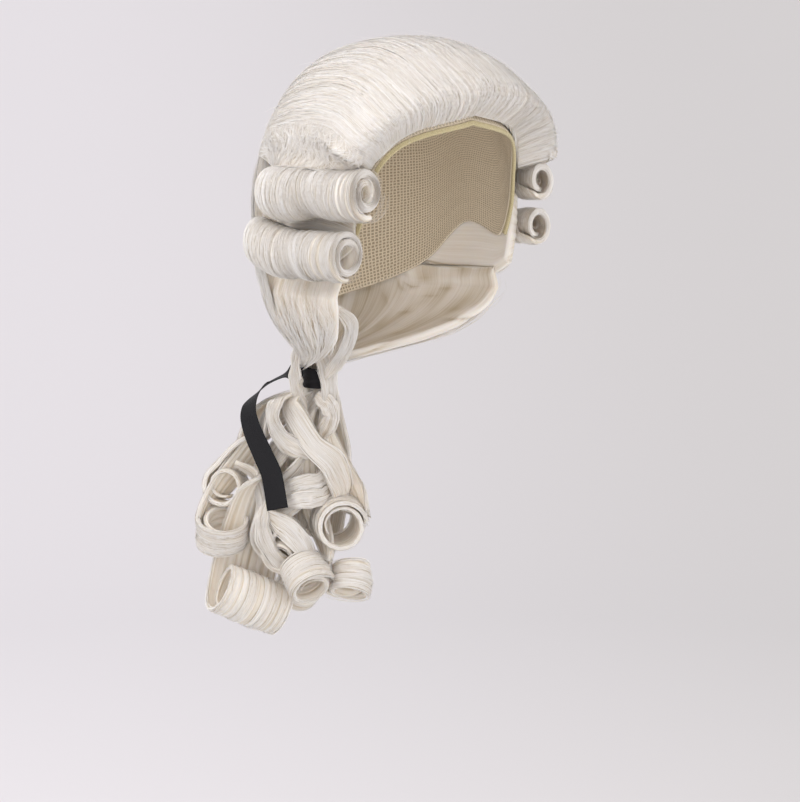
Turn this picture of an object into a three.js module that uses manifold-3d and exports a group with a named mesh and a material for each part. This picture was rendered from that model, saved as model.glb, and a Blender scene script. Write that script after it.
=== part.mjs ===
// A powdered wig in the style of the late eighteenth century: a net cap with a bound front edge, hair
// combed up and back over it, two rolled side curls over each ear, nape hair drawn down to a ribbon
// tie, and a queue of barrel curls below the tie.
//
// Units are millimetres and +Z is up. The wearer faces -Y, so the wearer's left is +X. The origin is
// the top of the wearer's head, where the cap bears on it.
import * as THREE from "three";
import { mergeVertices } from "three/addons/utils/BufferGeometryUtils.js";
import Module from "manifold-3d";

const wasm = await Module();
wasm.setup();

const DEGREE = Math.PI / 180;

// Sizes of the head that the cap is made for, measured from a centre below the top of the head.
const headHalfWidth = 74;
const headFront = 88;
const headBack = 94;
const headRise = 96;
const headFall = 100;
const headSquareness = 2.4;

// Walls and clearances.
const capWall = 1.6;
const seatGap = 0.9;
const bandWidth = 3.4;
const bandWall = 2.2;

// The swept-back hair is a fan of arches that turn about a left-right axis beside the ears.
const fanBack = 5;
const fanDrop = 105;
const crownReach = 139;
const crownHalfWidth = 105;
const archSquareness = 2.3;
const hairlineDepth = 3;
const riseLift = 30;
const riseLiftSide = 28;
const riseSweep = 34;
const riseSweepSide = 24;
const combDepth = 1.1;
const joinGap = 0.5;

// Where the ribbon ties the hair, and how thick the hair is there.
const tieDrop = 216;
const tieBack = 86;
const napeWall = 10;

// Ribbon.
const ribbonWidth = 15.5;
const ribbonThickness = 1.2;
const ribbonGap = 0.5;
const knotWidth = 11;
const knotDepth = 3;

// Side rolls.
const rollRadius = 22.6;
const rollWall = 6.2;
const rollTurnGap = 0.7;
const rollFlatness = 0.88;
const rollSeatGap = 0.9;

// Queue of curls below the tie.
const neckRadius = 9.6;
const queueLength = 178;
const queueSpread = 60;
const curlRadius = 18;
const lockWidth = 26;
const lockThickness = 4.6;

// The cap's edge, from the middle of the forehead (0) to the middle of the nape (1), in degrees:
// azimuth round from the front, elevation above the head's centre.
const rimRows = [
  { at: 0.0, azimuth: 0, elevation: 39 },
  { at: 0.17, azimuth: 40, elevation: 30 },
  { at: 0.28, azimuth: 55, elevation: 16 },
  { at: 0.36, azimuth: 60, elevation: -1 },
  { at: 0.45, azimuth: 69, elevation: -16 },
  { at: 0.58, azimuth: 94, elevation: -10 },
  { at: 0.76, azimuth: 125, elevation: -30 },
  { at: 1.0, azimuth: 180, elevation: -43 },
];
const crownRootEnd = 0.275;
const bandEnd = 0.42;

// Arches of the swept-back hair, by their turn in degrees from straight up, negative to the front.
// reach and edge are shares of crownReach: how far the arch stands from the fan's axis in the middle
// and at its two side edges. spread is a share of crownHalfWidth. depth is how far the hair goes in.
const crownRows = [
  { turn: -64, reach: 0.885, spread: 1.09, edge: 0.57, depth: 0.5 },
  { turn: -45, reach: 0.962, spread: 1.06, edge: 0.51, depth: 0.5 },
  { turn: -33, reach: 0.962, spread: 1.015, edge: 0.475, depth: 0.5 },
  { turn: -19, reach: 0.948, spread: 0.965, edge: 0.43, depth: 0.5 },
  { turn: 0, reach: 0.905, spread: 0.935, edge: 0.403, depth: 0.4 },
  { turn: 16, reach: 0.885, spread: 0.915, edge: 0.41, depth: 0.3 },
  { turn: 42, reach: 0.805, spread: 0.885, edge: 0.505, depth: 0.2 },
  { turn: 64, reach: 0.75, spread: 0.855, edge: 0.446, depth: 0.1 },
  { turn: 92, reach: 0.74, spread: 0.83, edge: 0.43, depth: 0.072 },
];
const joinTurnMiddle = -33;
const joinTurnSide = -45;
const crownEndTurn = 92;
const riseShare = 0.16;

// Outlines of the nape hair, from the crown's end (0) to the tie (1). half_width and back are shares
// of the crown's last arch; front is a share of the way from the fan's axis back to the tie, and
// hollow tells how the inside runs: 1 follows the outside, -1 bulges forward to close the bundle.
const napeRows = [
  { at: 0.0, half_width: 1.0, front: 0.0, back: 1.0, hollow: 1 },
  { at: 0.2, half_width: 1.0, front: -0.3, back: 1.05, hollow: 1 },
  { at: 0.38, half_width: 0.94, front: -0.42, back: 1.07, hollow: 1 },
  { at: 0.53, half_width: 0.87, front: -0.36, back: 1.05, hollow: 1 },
  { at: 0.67, half_width: 0.74, front: -0.2, back: 1.01, hollow: 1 },
  { at: 0.8, half_width: 0.53, front: 0.1, back: 0.95, hollow: 0.8 },
  { at: 0.91, half_width: 0.29, front: 0.55, back: 0.9, hollow: 0.1 },
  { at: 1.0, half_width: 0.142, front: 1.0, back: 0.9, hollow: -1 },
];
// Side hair that covers the cap and the ear behind the rolls, from its front edge (0) to its rear edge
// (1): azimuth round from the front, and the elevations of its top and bottom edges, in degrees.
const sideRows = [
  { at: 0.0, azimuth: 62, top: 5, bottom: -27 },
  { at: 0.25, azimuth: 74, top: 15, bottom: -33 },
  { at: 0.5, azimuth: 90, top: 19, bottom: -34 },
  { at: 0.75, azimuth: 108, top: 17, bottom: -33 },
  { at: 1.0, azimuth: 124, top: 8, bottom: -29 },
];
const sideHairWallRight = 3;
const sideHairWallLeft = 7;

const napeWingTop = 0.38;
const napeWingStart = 42;
const napeWingEnd = 57;

// Side rolls. drop, the axis below the origin at the front end, is a share of fanDrop, and so is rise,
// how far the rear end stands above it; front and rear, its ends, are shares of headFront and headBack;
// radius and wall are shares of rollRadius and rollWall. The hair is wound inwards by the given turns.
const rollRows = [
  { name: "side_roll_upper_right", side: -1, drop: 0.795, rise: 0.0, front: 0.716, rear: 0.28, radius: 0.96, wall: 1.0, turns: 1.4 },
  { name: "side_roll_lower_right", side: -1, drop: 1.195, rise: 0.1, front: 0.56, rear: 0.5, radius: 0.9, wall: 0.7, turns: 1.2 },
  { name: "side_roll_upper_left", side: 1, drop: 0.745, rise: 0.0, front: 0.655, rear: 0.33, radius: 0.7, wall: 0.78, turns: 1.1 },
  { name: "side_roll_lower_left", side: 1, drop: 1.05, rise: 0.08, front: 0.6, rear: 0.54, radius: 0.68, wall: 0.7, turns: 1.15 },
];
// Girth of a roll as a share of its radius, from its front end (0) to its rear end (1).
const girthRows = [
  { at: 0.0, girth: 1.0 },
  { at: 0.1, girth: 0.97 },
  { at: 0.34, girth: 0.93 },
  { at: 0.6, girth: 0.99 },
  { at: 0.85, girth: 0.95 },
  { at: 1.0, girth: 0.8 },
];

// Locks of the queue. across, back and drop place the middle of the closing curl from the tie, as
// shares of queueSpread and queueLength; heading and tilt turn the curl's axis; sweep and turns are
// the windings on the way down and in the curl; radius, width are shares of the sizes above.
const lockRows = [
  { across: 0.02, back: -0.33, drop: 0.63, heading: -30, tilt: -4, sweep: 0.5, turns: 1.6, phase: 203, radius: 1.1, width: 1.35 },
  { across: -0.73, back: 0.88, drop: 0.5, heading: -55, tilt: 8, sweep: 0.5, turns: 1.5, phase: 60, radius: 0.9, width: 0.9 },
  { across: -0.91, back: 0.73, drop: 0.68, heading: -40, tilt: 66, sweep: 0.6, turns: 1.3, phase: 120, radius: 1.05, width: 0.9 },
  { across: -0.77, back: 0.38, drop: 0.95, heading: -108, tilt: 24, sweep: 0.6, turns: 1.4, phase: 90, radius: 1.1, width: 1.8 },
  { across: -0.43, back: -0.26, drop: 0.85, heading: -10, tilt: -38, sweep: 0.6, turns: 1.5, phase: 180, radius: 0.97, width: 0.9 },
  { across: 0.09, back: -0.45, drop: 0.87, heading: -42, tilt: -60, sweep: 0.6, turns: 1.4, phase: 0, radius: 0.95, width: 0.85 },
  { across: -0.08, back: -0.4, drop: 0.42, heading: 0, tilt: -85, sweep: 0.4, turns: 0.5, phase: 150, radius: 0.5, width: 1.0 },
  { across: -0.4, back: 0.22, drop: 0.5, heading: 0, tilt: -85, sweep: 0.5, turns: 0.6, phase: 90, radius: 0.6, width: 1.1 },
  { across: -0.42, back: 0.12, drop: 0.74, heading: -60, tilt: -20, sweep: 0.7, turns: 1.2, phase: 300, radius: 0.75, width: 1.2 },
  { across: 0.4, back: 0.5, drop: 0.66, heading: 150, tilt: -10, sweep: 0.5, turns: 1.4, phase: 0, radius: 0.95, width: 1.0 },
  { across: -0.05, back: 1.02, drop: 0.76, heading: 195, tilt: -10, sweep: 0.5, turns: 1.4, phase: 0, radius: 0.95, width: 1.0 },
  { across: 0.13, back: 0.5, drop: 0.94, heading: 170, tilt: -40, sweep: 0.6, turns: 1.4, phase: 0, radius: 0.95, width: 0.95 },
];
// Waved locks that fall from the tie over the curls, by points on their middle lines: across and back
// are shares of queueSpread from the tie, drop is a share of queueLength, width of lockWidth.
const waveRows = [
  { lock: "sweep", width: 0.77, across: -0.3, back: 0.04, drop: 0.105 },
  { lock: "sweep", width: 0.77, across: -0.44, back: 0.0, drop: 0.145 },
  { lock: "sweep", width: 0.77, across: -0.43, back: -0.1, drop: 0.2 },
  { lock: "sweep", width: 0.77, across: -0.34, back: -0.27, drop: 0.298 },
  { lock: "sweep", width: 0.77, across: -0.13, back: -0.42, drop: 0.386 },
  { lock: "sweep", width: 0.77, across: 0.02, back: -0.42, drop: 0.485 },
  { lock: "bow", width: 0.5, across: -0.14, back: -0.12, drop: 0.11 },
  { lock: "bow", width: 0.5, across: -0.12, back: -0.29, drop: 0.145 },
  { lock: "bow", width: 0.5, across: -0.08, back: -0.33, drop: 0.192 },
  { lock: "bow", width: 0.5, across: -0.13, back: -0.2, drop: 0.29 },
  { lock: "loop", width: 0.55, across: -0.26, back: 0.08, drop: 0.115 },
  { lock: "loop", width: 0.55, across: -0.58, back: 0.08, drop: 0.135 },
  { lock: "loop", width: 0.55, across: -0.645, back: 0.105, drop: 0.18 },
  { lock: "loop", width: 0.55, across: -0.6, back: 0.06, drop: 0.259 },
  { lock: "loop", width: 0.55, across: -0.41, back: -0.07, drop: 0.294 },
  { lock: "left", width: 0.8, across: -0.2, back: 0.2, drop: 0.115 },
  { lock: "left", width: 0.8, across: -0.43, back: 0.34, drop: 0.155 },
  { lock: "left", width: 0.8, across: -0.58, back: 0.39, drop: 0.267 },
  { lock: "left", width: 0.8, across: -0.62, back: 0.34, drop: 0.401 },
  { lock: "left", width: 0.8, across: -0.58, back: 0.24, drop: 0.543 },
  { lock: "outer", width: 0.62, across: -0.07, back: 0.31, drop: 0.115 },
  { lock: "outer", width: 0.62, across: -0.35, back: 0.67, drop: 0.19 },
  { lock: "outer", width: 0.62, across: -0.52, back: 0.83, drop: 0.316 },
  { lock: "outer", width: 0.62, across: -0.5, back: 0.7, drop: 0.43 },
];
const waveSteps = 9;
const queueLean = { across: -0.2, back: 0.33 };
const lockStartShare = 0.25;
const curlStart = 0.45;
const lockSteps = 19;
const shortestEdge = 0.1;

// The ribbon's hanging end, as shares of queueSpread and queueLength from the tie. face is the
// heading that the ribbon's flat side looks to, in degrees from -Y towards +X.
const tailRows = [
  { at: 0.0, across: 0.0, back: 0.2315, drop: 0.04, face: -132 },
  { at: 0.1, across: -0.08, back: 0.43, drop: 0.042, face: -128 },
  { at: 0.25, across: -0.376, back: 0.565, drop: 0.086, face: -105 },
  { at: 0.38, across: -0.685, back: 0.49, drop: 0.153, face: -84 },
  { at: 0.46, across: -0.755, back: 0.42, drop: 0.202, face: -74 },
  { at: 0.57, across: -0.781, back: 0.279, drop: 0.274, face: -64 },
  { at: 0.69, across: -0.774, back: 0.116, drop: 0.351, face: -56 },
  { at: 0.81, across: -0.756, back: -0.013, drop: 0.425, face: -50 },
  { at: 1.0, across: -0.757, back: -0.124, drop: 0.561, face: -44 },
];

// Value of a table's column at x, on a smooth curve through the rows that never overshoots them.
function sample(rows, key, column, x) {
  const last = rows.length - 1;
  const clamped = Math.min(Math.max(x, rows[0][key]), rows[last][key]);
  let k = 0;
  while (k < last - 1 && clamped > rows[k + 1][key]) k += 1;
  const slope = (i) => (rows[i + 1][column] - rows[i][column]) / (rows[i + 1][key] - rows[i][key]);
  const tangent = (i) => {
    if (i === 0) return slope(0);
    if (i === last) return slope(last - 1);
    const before = slope(i - 1);
    const after = slope(i);
    return before * after <= 0 ? 0 : (2 * before * after) / (before + after);
  };
  const span = rows[k + 1][key] - rows[k][key];
  const t = (clamped - rows[k][key]) / span;
  const t2 = t * t;
  const t3 = t2 * t;
  return (
    (2 * t3 - 3 * t2 + 1) * rows[k][column] +
    (t3 - 2 * t2 + t) * span * tangent(k) +
    (3 * t2 - 2 * t3) * rows[k + 1][column] +
    (t3 - t2) * span * tangent(k + 1)
  );
}

const mix = (a, b, t) => a + (b - a) * t;
const ease = (t) => {
  const c = Math.min(Math.max(t, 0), 1);
  return c * c * (3 - 2 * c);
};
const range = (count, make) => Array.from({ length: count + 1 }, (_, i) => make(i / count));

function geometryOf(positions, index) {
  let volume = 0;
  const corner = (i) => new THREE.Vector3().fromArray(positions, 3 * i);
  for (let i = 0; i < index.length; i += 3)
    volume += corner(index[i]).dot(corner(index[i + 1]).cross(corner(index[i + 2])));
  if (volume < 0) index.reverse();
  const geometry = new THREE.BufferGeometry();
  geometry.setAttribute("position", new THREE.Float32BufferAttribute(positions, 3));
  return geometry.setIndex(index);
}

// Closed solid between two grids of points, front and back of a thick sheet.
function thickSheet(front, back) {
  const positions = [];
  const index = [];
  const put = (grid) => grid.map((row) => row.map((p) => positions.push(p.x, p.y, p.z) / 3 - 1));
  const f = put(front);
  const b = put(back);
  const rows = f.length - 1;
  const columns = f[0].length - 1;
  const quad = (p, q, r, s) => index.push(p, q, r, p, r, s);
  for (let j = 0; j < rows; j += 1) {
    for (let i = 0; i < columns; i += 1) {
      quad(f[j][i], f[j][i + 1], f[j + 1][i + 1], f[j + 1][i]);
      quad(b[j][i], b[j + 1][i], b[j + 1][i + 1], b[j][i + 1]);
    }
    quad(f[j][0], f[j + 1][0], b[j + 1][0], b[j][0]);
    quad(f[j][columns], b[j][columns], b[j + 1][columns], f[j + 1][columns]);
  }
  for (let i = 0; i < columns; i += 1) {
    quad(f[0][i], b[0][i], b[0][i + 1], f[0][i + 1]);
    quad(f[rows][i], f[rows][i + 1], b[rows][i + 1], b[rows][i]);
  }
  return geometryOf(positions, index);
}

// Closed dome shell from rings of points that start at one pole point each, outside and inside.
function domeShell(outerPole, outerRings, innerPole, innerRings) {
  const positions = [];
  const index = [];
  const put = (p) => positions.push(p.x, p.y, p.z) / 3 - 1;
  const skin = (pole, rings) => ({ pole: put(pole), rings: rings.map((ring) => ring.map(put)) });
  const outer = skin(outerPole, outerRings);
  const inner = skin(innerPole, innerRings);
  const count = outerRings[0].length;
  const last = outerRings.length - 1;
  for (let i = 0; i < count; i += 1) {
    const n = (i + 1) % count;
    index.push(outer.pole, outer.rings[0][i], outer.rings[0][n]);
    index.push(inner.pole, inner.rings[0][n], inner.rings[0][i]);
    for (let j = 0; j < last; j += 1) {
      const [a, b, c, d] = [outer.rings[j][i], outer.rings[j][n], outer.rings[j + 1][n], outer.rings[j + 1][i]];
      index.push(a, c, b, a, d, c);
      const [e, f, g, h] = [inner.rings[j][i], inner.rings[j][n], inner.rings[j + 1][n], inner.rings[j + 1][i]];
      index.push(e, f, g, e, g, h);
    }
    const [a, b, c, d] = [outer.rings[last][i], outer.rings[last][n], inner.rings[last][n], inner.rings[last][i]];
    index.push(a, c, b, a, d, c);
  }
  return geometryOf(positions, index);
}

// A built-in geometry with its seams closed.
function welded(geometry) {
  geometry.deleteAttribute("normal");
  geometry.deleteAttribute("uv");
  return mergeVertices(geometry, 1e-3);
}

// A geometry as a manifold-3d solid, and back.
const solidOf = (geometry) =>
  new wasm.Manifold(
    new wasm.Mesh({
      numProp: 3,
      vertProperties: new Float32Array(geometry.attributes.position.array),
      triVerts: new Uint32Array(geometry.index.array),
    }),
  );

function geometryOfSolid(solid) {
  const { vertProperties, triVerts } = solid.getMesh();
  return geometryOf(Array.from(vertProperties), Array.from(triVerts));
}

// The largest closed skin of a solid, so that sealed pockets inside it are left filled.
function outerShell(solid) {
  const [shell] = solidOf(welded(geometryOfSolid(solid)))
    .decompose()
    .sort((a, b) => b.volume() - a.volume());
  return shell;
}

// Point of the head at an azimuth and elevation in degrees, moved out by grow.
const headCentre = new THREE.Vector3(0, 0, -headRise);
function headRadius(direction) {
  const depth = direction.y < 0 ? headFront : headBack;
  const height = direction.z > 0 ? headRise : headFall;
  const sum =
    Math.abs(direction.x / headHalfWidth) ** headSquareness +
    Math.abs(direction.y / depth) ** headSquareness +
    Math.abs(direction.z / height) ** headSquareness;
  return sum ** (-1 / headSquareness);
}
function onHead(direction, grow) {
  const unit = direction.clone().normalize();
  return unit.multiplyScalar(headRadius(unit) + grow).add(headCentre);
}
function headPoint(azimuth, elevation, grow) {
  const a = azimuth * DEGREE;
  const e = elevation * DEGREE;
  return onHead(new THREE.Vector3(Math.sin(a) * Math.cos(e), -Math.cos(a) * Math.cos(e), Math.sin(e)), grow);
}
// The point itself, or one straight out from it that stands off the cap by the gap.
function clearOfHead(point, gap) {
  const ray = point.clone().sub(headCentre);
  const least = headRadius(ray.clone().normalize()) + capWall + gap;
  return ray.setLength(Math.max(ray.length(), least)).add(headCentre);
}
// Half the head's width at a place along Y and Z.
function headSide(y, z) {
  const depth = y < 0 ? headFront : headBack;
  const height = z > -headRise ? headRise : headFall;
  const rest = 1 - Math.abs(y / depth) ** headSquareness - Math.abs((z + headRise) / height) ** headSquareness;
  return headHalfWidth * Math.max(rest, 0) ** (1 / headSquareness);
}

// Point of the cap's edge; at runs from -1 over 0, the forehead, to 1, with + on the wearer's left.
function rimPoint(at, grow) {
  const azimuth = Math.sign(at) * sample(rimRows, "at", "azimuth", Math.abs(at));
  return headPoint(azimuth, sample(rimRows, "at", "elevation", Math.abs(at)), grow);
}

function capGeometry() {
  const around = 40;
  const down = 7;
  const rings = (grow) =>
    Array.from({ length: down }, (_, j) =>
      Array.from({ length: around }, (__, i) => {
        const at = (2 * i) / around - 1;
        const azimuth = Math.sign(at) * sample(rimRows, "at", "azimuth", Math.abs(at));
        const edge = sample(rimRows, "at", "elevation", Math.abs(at));
        return headPoint(azimuth, mix(90, edge, (j + 1) / down), grow);
      }),
    );
  return domeShell(headPoint(0, 90, capWall), rings(capWall), headPoint(0, 90, 0), rings(0));
}

// Binding strip just in front of the cap's edge, from temple to temple.
function bandGeometry() {
  const steps = 30;
  const strip = (grow) =>
    range(steps, (share) => {
      const at = mix(-bandEnd, bandEnd, share);
      const here = rimPoint(at, 0);
      const along = rimPoint(at + 0.01, 0).sub(rimPoint(at - 0.01, 0)).normalize();
      const outward = here.clone().sub(headCentre).normalize();
      const forward = along.clone().cross(outward).normalize();
      return [2 * joinGap, 2 * joinGap + bandWidth].map((reach) =>
        onHead(here.clone().addScaledVector(forward, reach).sub(headCentre), grow),
      );
    });
  return thickSheet(strip(bandWall), strip(0));
}

// Point of a fan arch: across is -1 to 1 between its side edges.
function archPoint(turn, across) {
  const reach = crownReach * sample(crownRows, "turn", "reach", turn);
  const width = crownHalfWidth * sample(crownRows, "turn", "spread", turn);
  const edge = crownReach * sample(crownRows, "turn", "edge", turn);
  const edgeAngle = Math.acos((edge / reach) ** (archSquareness / 2));
  const angle = across * edgeAngle;
  const out = Math.sign(angle) * width * Math.abs(Math.sin(angle)) ** (2 / archSquareness);
  const away = reach * Math.cos(angle) ** (2 / archSquareness);
  return new THREE.Vector3(out, fanBack + away * Math.sin(turn * DEGREE), -fanDrop + away * Math.cos(turn * DEGREE));
}

// Outside of the swept-back hair: along is 0 at the hairline and 1 at the crown's end.
function crownOutside(across, along) {
  const side = Math.abs(across);
  const joinTurn = mix(joinTurnMiddle, joinTurnSide, side ** 1.5);
  if (along >= riseShare) {
    return archPoint(mix(joinTurn, crownEndTurn, (along - riseShare) / (1 - riseShare)), across);
  }
  const root = rimPoint(across * crownRootEnd, capWall + seatGap + hairlineDepth);
  const join = archPoint(joinTurn, across);
  const sweep = archPoint(joinTurn + 1, across)
    .sub(join)
    .setLength(mix(riseSweep, riseSweepSide, side ** 2));
  const outward = root
    .clone()
    .sub(headCentre)
    .setLength(mix(riseLift, riseLiftSide, side ** 2));
  return new THREE.CubicBezierCurve3(root, root.clone().add(outward), join.clone().sub(sweep), join).getPoint(
    along / riseShare,
  );
}

// Broad ridges that the comb leaves in the hair, as a height in millimetres.
function combRidges(across, along) {
  const fade = ease(along / 0.2) * ease((1 - along) / 0.1);
  const lines = Math.sin(23 * across + 1.2 * along) + 0.6 * Math.sin(41 * across + 2 - 1.5 * along);
  return combDepth * fade * lines;
}

function crownGeometry() {
  const acrossSteps = 32;
  const alongShares = [...range(3, (t) => t * riseShare), ...range(12, (t) => mix(riseShare, 1, t)).slice(1)];
  const outside = alongShares.map((along) =>
    range(acrossSteps, (t) => {
      const across = mix(-1, 1, t);
      const point = crownOutside(across, along);
      const outward = point.clone().sub(headCentre).normalize();
      return point.addScaledVector(outward, combRidges(across, along));
    }),
  );
  const joinRow = alongShares.findIndex((along) => along >= riseShare);
  const inside = alongShares.map((along, j) =>
    outside[j].map((point, i) => {
      const ray = point.clone().sub(headCentre);
      if (j < joinRow) {
        const root = outside[0][i].clone().sub(headCentre).normalize();
        const join = outside[joinRow][i].clone().sub(headCentre).normalize();
        return onHead(root.lerp(join, along / riseShare), capWall + seatGap);
      }
      const turn = Math.atan2(point.y - fanBack, point.z + fanDrop) / DEGREE;
      const depth = crownReach * sample(crownRows, "turn", "depth", turn);
      const seat = headRadius(ray.clone().normalize()) + capWall + seatGap;
      return onHead(ray, 0).sub(headCentre).setLength(Math.max(seat, ray.length() - depth)).add(headCentre);
    }),
  );
  return thickSheet(outside, inside);
}

const sideHairWall = (side) => (side < 0 ? sideHairWallRight : sideHairWallLeft);
function sideHairGeometry(side) {
  const sheet = (grow) =>
    range(6, (down) =>
      range(9, (at) => {
        const elevation = mix(sample(sideRows, "at", "top", at), sample(sideRows, "at", "bottom", at), down);
        return headPoint(side * sample(sideRows, "at", "azimuth", at), elevation, capWall + seatGap + grow);
      }),
    );
  return thickSheet(sheet(sideHairWall(side)), sheet(0));
}

// Nape hair: turn is the angle round from the middle of the back, along 0 at the top, 1 at the tie.
function napeOutline(turn, along, inside) {
  const lastArch = archPoint(crownEndTurn, 0);
  const side = Math.abs(turn);
  const wing = ease((side - napeWingStart) / (napeWingEnd - napeWingStart));
  const at = mix(napeWingTop * wing, 1, along);
  const top = -lastArch.z + joinGap;
  const width = crownHalfWidth * sample(crownRows, "turn", "spread", crownEndTurn);
  const halfWidth = width * sample(napeRows, "at", "half_width", at);
  const front = mix(fanBack, tieBack, sample(napeRows, "at", "front", at));
  const back = lastArch.y * sample(napeRows, "at", "back", at);
  const hollow = sample(napeRows, "at", "hollow", at);
  const wall = Math.min(napeWall, 0.6 * halfWidth);
  const angle = turn * DEGREE;
  const out = Math.sign(turn) * Math.abs(Math.sin(angle)) ** (2 / archSquareness);
  const away = Math.cos(angle) ** (2 / archSquareness);
  const x = (inside ? halfWidth - (hollow > 0 ? wall * hollow : 0) : halfWidth) * out;
  const reach = inside ? (hollow > 0 ? hollow * (back - front - wall) : hollow * (back - front)) : back - front;
  const point = new THREE.Vector3(x, front + reach * away, -mix(top, tieDrop, at));
  return hollow > 0 ? clearOfHead(point, inside ? 2 * seatGap : seatGap + napeWall / 2) : point;
}

function napeGeometry() {
  const grid = (inside) =>
    range(9, (along) => range(24, (t) => napeOutline(mix(-90, 90, t), along, inside)));
  return thickSheet(grid(false), grid(true));
}

// Side roll: a sheet of hair wound inwards, from the side hair that it sits on, under, out and over.
function rollGeometry(row) {
  const windings = Math.round(11 * row.turns);
  const stand = capWall + seatGap + sideHairWall(row.side) + rollSeatGap;
  const sheet = (inside) =>
    range(5, (share) => {
      const y = mix(-headFront * row.front, headBack * row.rear, share);
      const height = -fanDrop * (row.drop - row.rise * share ** 3);
      const slimming = sample(girthRows, "at", "girth", share);
      const girth = rollRadius * row.radius * slimming;
      const wall = rollWall * row.wall * slimming;
      const x = headSide(y, height) + stand + rollFlatness * girth;
      return range(windings, (wound) => {
        const angle = -Math.PI + wound * row.turns * 2 * Math.PI;
        const pitch = wall + rollTurnGap * slimming;
        const radius = girth - pitch * wound * row.turns - (inside ? wall : 0);
        const out = x + rollFlatness * radius * Math.cos(angle);
        return new THREE.Vector3(row.side * out, y, height + radius * Math.sin(angle));
      });
    });
  return thickSheet(sheet(false), sheet(true));
}

// Middle line of a lock with the direction of its flat side, from the tie to the end of its curl.
function lockStations(row) {
  const tie = new THREE.Vector3(0, tieBack, -tieDrop - ribbonWidth - neckRadius / 2);
  const end = new THREE.Vector3(
    queueSpread * row.across,
    tieBack + queueSpread * row.back,
    -tieDrop - queueLength * row.drop,
  );
  const heading = row.heading * DEGREE;
  const tilt = row.tilt * DEGREE;
  const axis = new THREE.Vector3(Math.sin(heading) * Math.cos(tilt), -Math.cos(heading) * Math.cos(tilt), Math.sin(tilt));
  const outward = end.clone().sub(tie).setZ(0);
  const start = tie.clone().addScaledVector(outward.clone().normalize(), lockStartShare * neckRadius);
  const shoulder = start.clone().addScaledVector(outward, 0.75).setZ(mix(start.z, end.z, 0.3));
  const path = new THREE.QuadraticBezierCurve3(start, shoulder, end);
  const radiusFull = curlRadius * row.radius;
  const pitch = lockThickness + rollTurnGap;
  let side = new THREE.Vector3(1, 0, 0);
  const stations = range(lockSteps, (t) => {
    const down = Math.min(t / curlStart, 1);
    const curled = Math.max((t - curlStart) / (1 - curlStart), 0);
    const centre = path.getPoint(down);
    const direction = path.getTangent(down).lerp(axis, ease(down)).normalize();
    side = side.clone().addScaledVector(direction, -side.dot(direction)).normalize();
    const other = direction.clone().cross(side);
    const phase = row.phase * DEGREE + 2 * Math.PI * (row.sweep * down + row.turns * curled);
    const outwards = side.clone().multiplyScalar(Math.cos(phase)).addScaledVector(other, Math.sin(phase));
    const radius = radiusFull * ease(down) - pitch * row.turns * curled;
    return { t, point: centre.clone().addScaledVector(outwards, radius), outwards };
  });
  return stations;
}

function lockGeometry(row) {
  const stations = lockStations(row);
  const section = (facing) =>
    stations.map(({ t, point, outwards }, i) => {
      const before = stations[Math.max(i - 1, 0)].point;
      const after = stations[Math.min(i + 1, stations.length - 1)].point;
      const tangent = after.clone().sub(before).normalize();
      const normal = outwards.clone().addScaledVector(tangent, -outwards.dot(tangent)).normalize();
      const flat = tangent.clone().cross(normal);
      const full = ease(t / curlStart);
      const width = mix(neckRadius, lockWidth * row.width, full) * mix(1, 0.85, ease((t - 0.8) / 0.2));
      const thickness = lockThickness * mix(1.2, 1, full);
      return [-1, 1].map((across) =>
        point
          .clone()
          .addScaledVector(flat, (width / 2) * across)
          .addScaledVector(normal, facing * (thickness / 2)),
      );
    });
  return thickSheet(section(1), section(-1));
}

// Middle of the queue at a height, as a point.
const queueHeart = (z) => {
  const share = (-tieDrop - z) / queueLength;
  return new THREE.Vector3(queueSpread * queueLean.across * share, tieBack + queueSpread * queueLean.back * share, z);
};

// A waved lock through its rows, its flat side facing out of the queue.
function waveGeometry(name) {
  const rows = waveRows.filter((row) => row.lock === name);
  const line = new THREE.CatmullRomCurve3(
    rows.map(
      (row) =>
        new THREE.Vector3(
          queueSpread * row.across,
          tieBack + queueSpread * row.back,
          -tieDrop - queueLength * row.drop,
        ),
    ),
  );
  const section = (facing) =>
    range(waveSteps, (t) => {
      const point = line.getPoint(t);
      const tangent = line.getTangent(t);
      const normal = point.clone().sub(queueHeart(point.z));
      normal.addScaledVector(tangent, -normal.dot(tangent)).normalize();
      const flat = tangent.clone().cross(normal);
      const width = lockWidth * rows[0].width * mix(0.5, 1, ease(t / 0.25));
      return [-1, 1].map((across) =>
        point
          .clone()
          .addScaledVector(flat, (width / 2) * across)
          .addScaledVector(normal, (facing * lockThickness) / 2),
      );
    });
  return thickSheet(section(1), section(-1));
}

// Closed round bar between two heights, for the bound neck of the queue and the heart of the curls.
function coreGeometry(rows) {
  const sides = 12;
  const ring = ({ x, y, z, radius }) =>
    Array.from({ length: sides }, (_, i) => {
      const angle = (2 * Math.PI * i) / sides;
      return new THREE.Vector3(x + radius * Math.cos(angle), y + radius * Math.sin(angle), z);
    });
  const rings = rows.map(ring);
  const positions = rings.flat().flatMap((p) => [p.x, p.y, p.z]);
  const index = [];
  for (let j = 0; j < rows.length - 1; j += 1)
    for (let i = 0; i < sides; i += 1) {
      const n = (i + 1) % sides;
      const [a, b, c, d] = [j * sides + i, j * sides + n, (j + 1) * sides + n, (j + 1) * sides + i];
      index.push(a, b, c, a, c, d);
    }
  const last = (rows.length - 1) * sides;
  for (let i = 1; i < sides - 1; i += 1) {
    index.push(0, i + 1, i);
    index.push(last, last + i, last + i + 1);
  }
  return geometryOf(positions, index);
}

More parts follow.
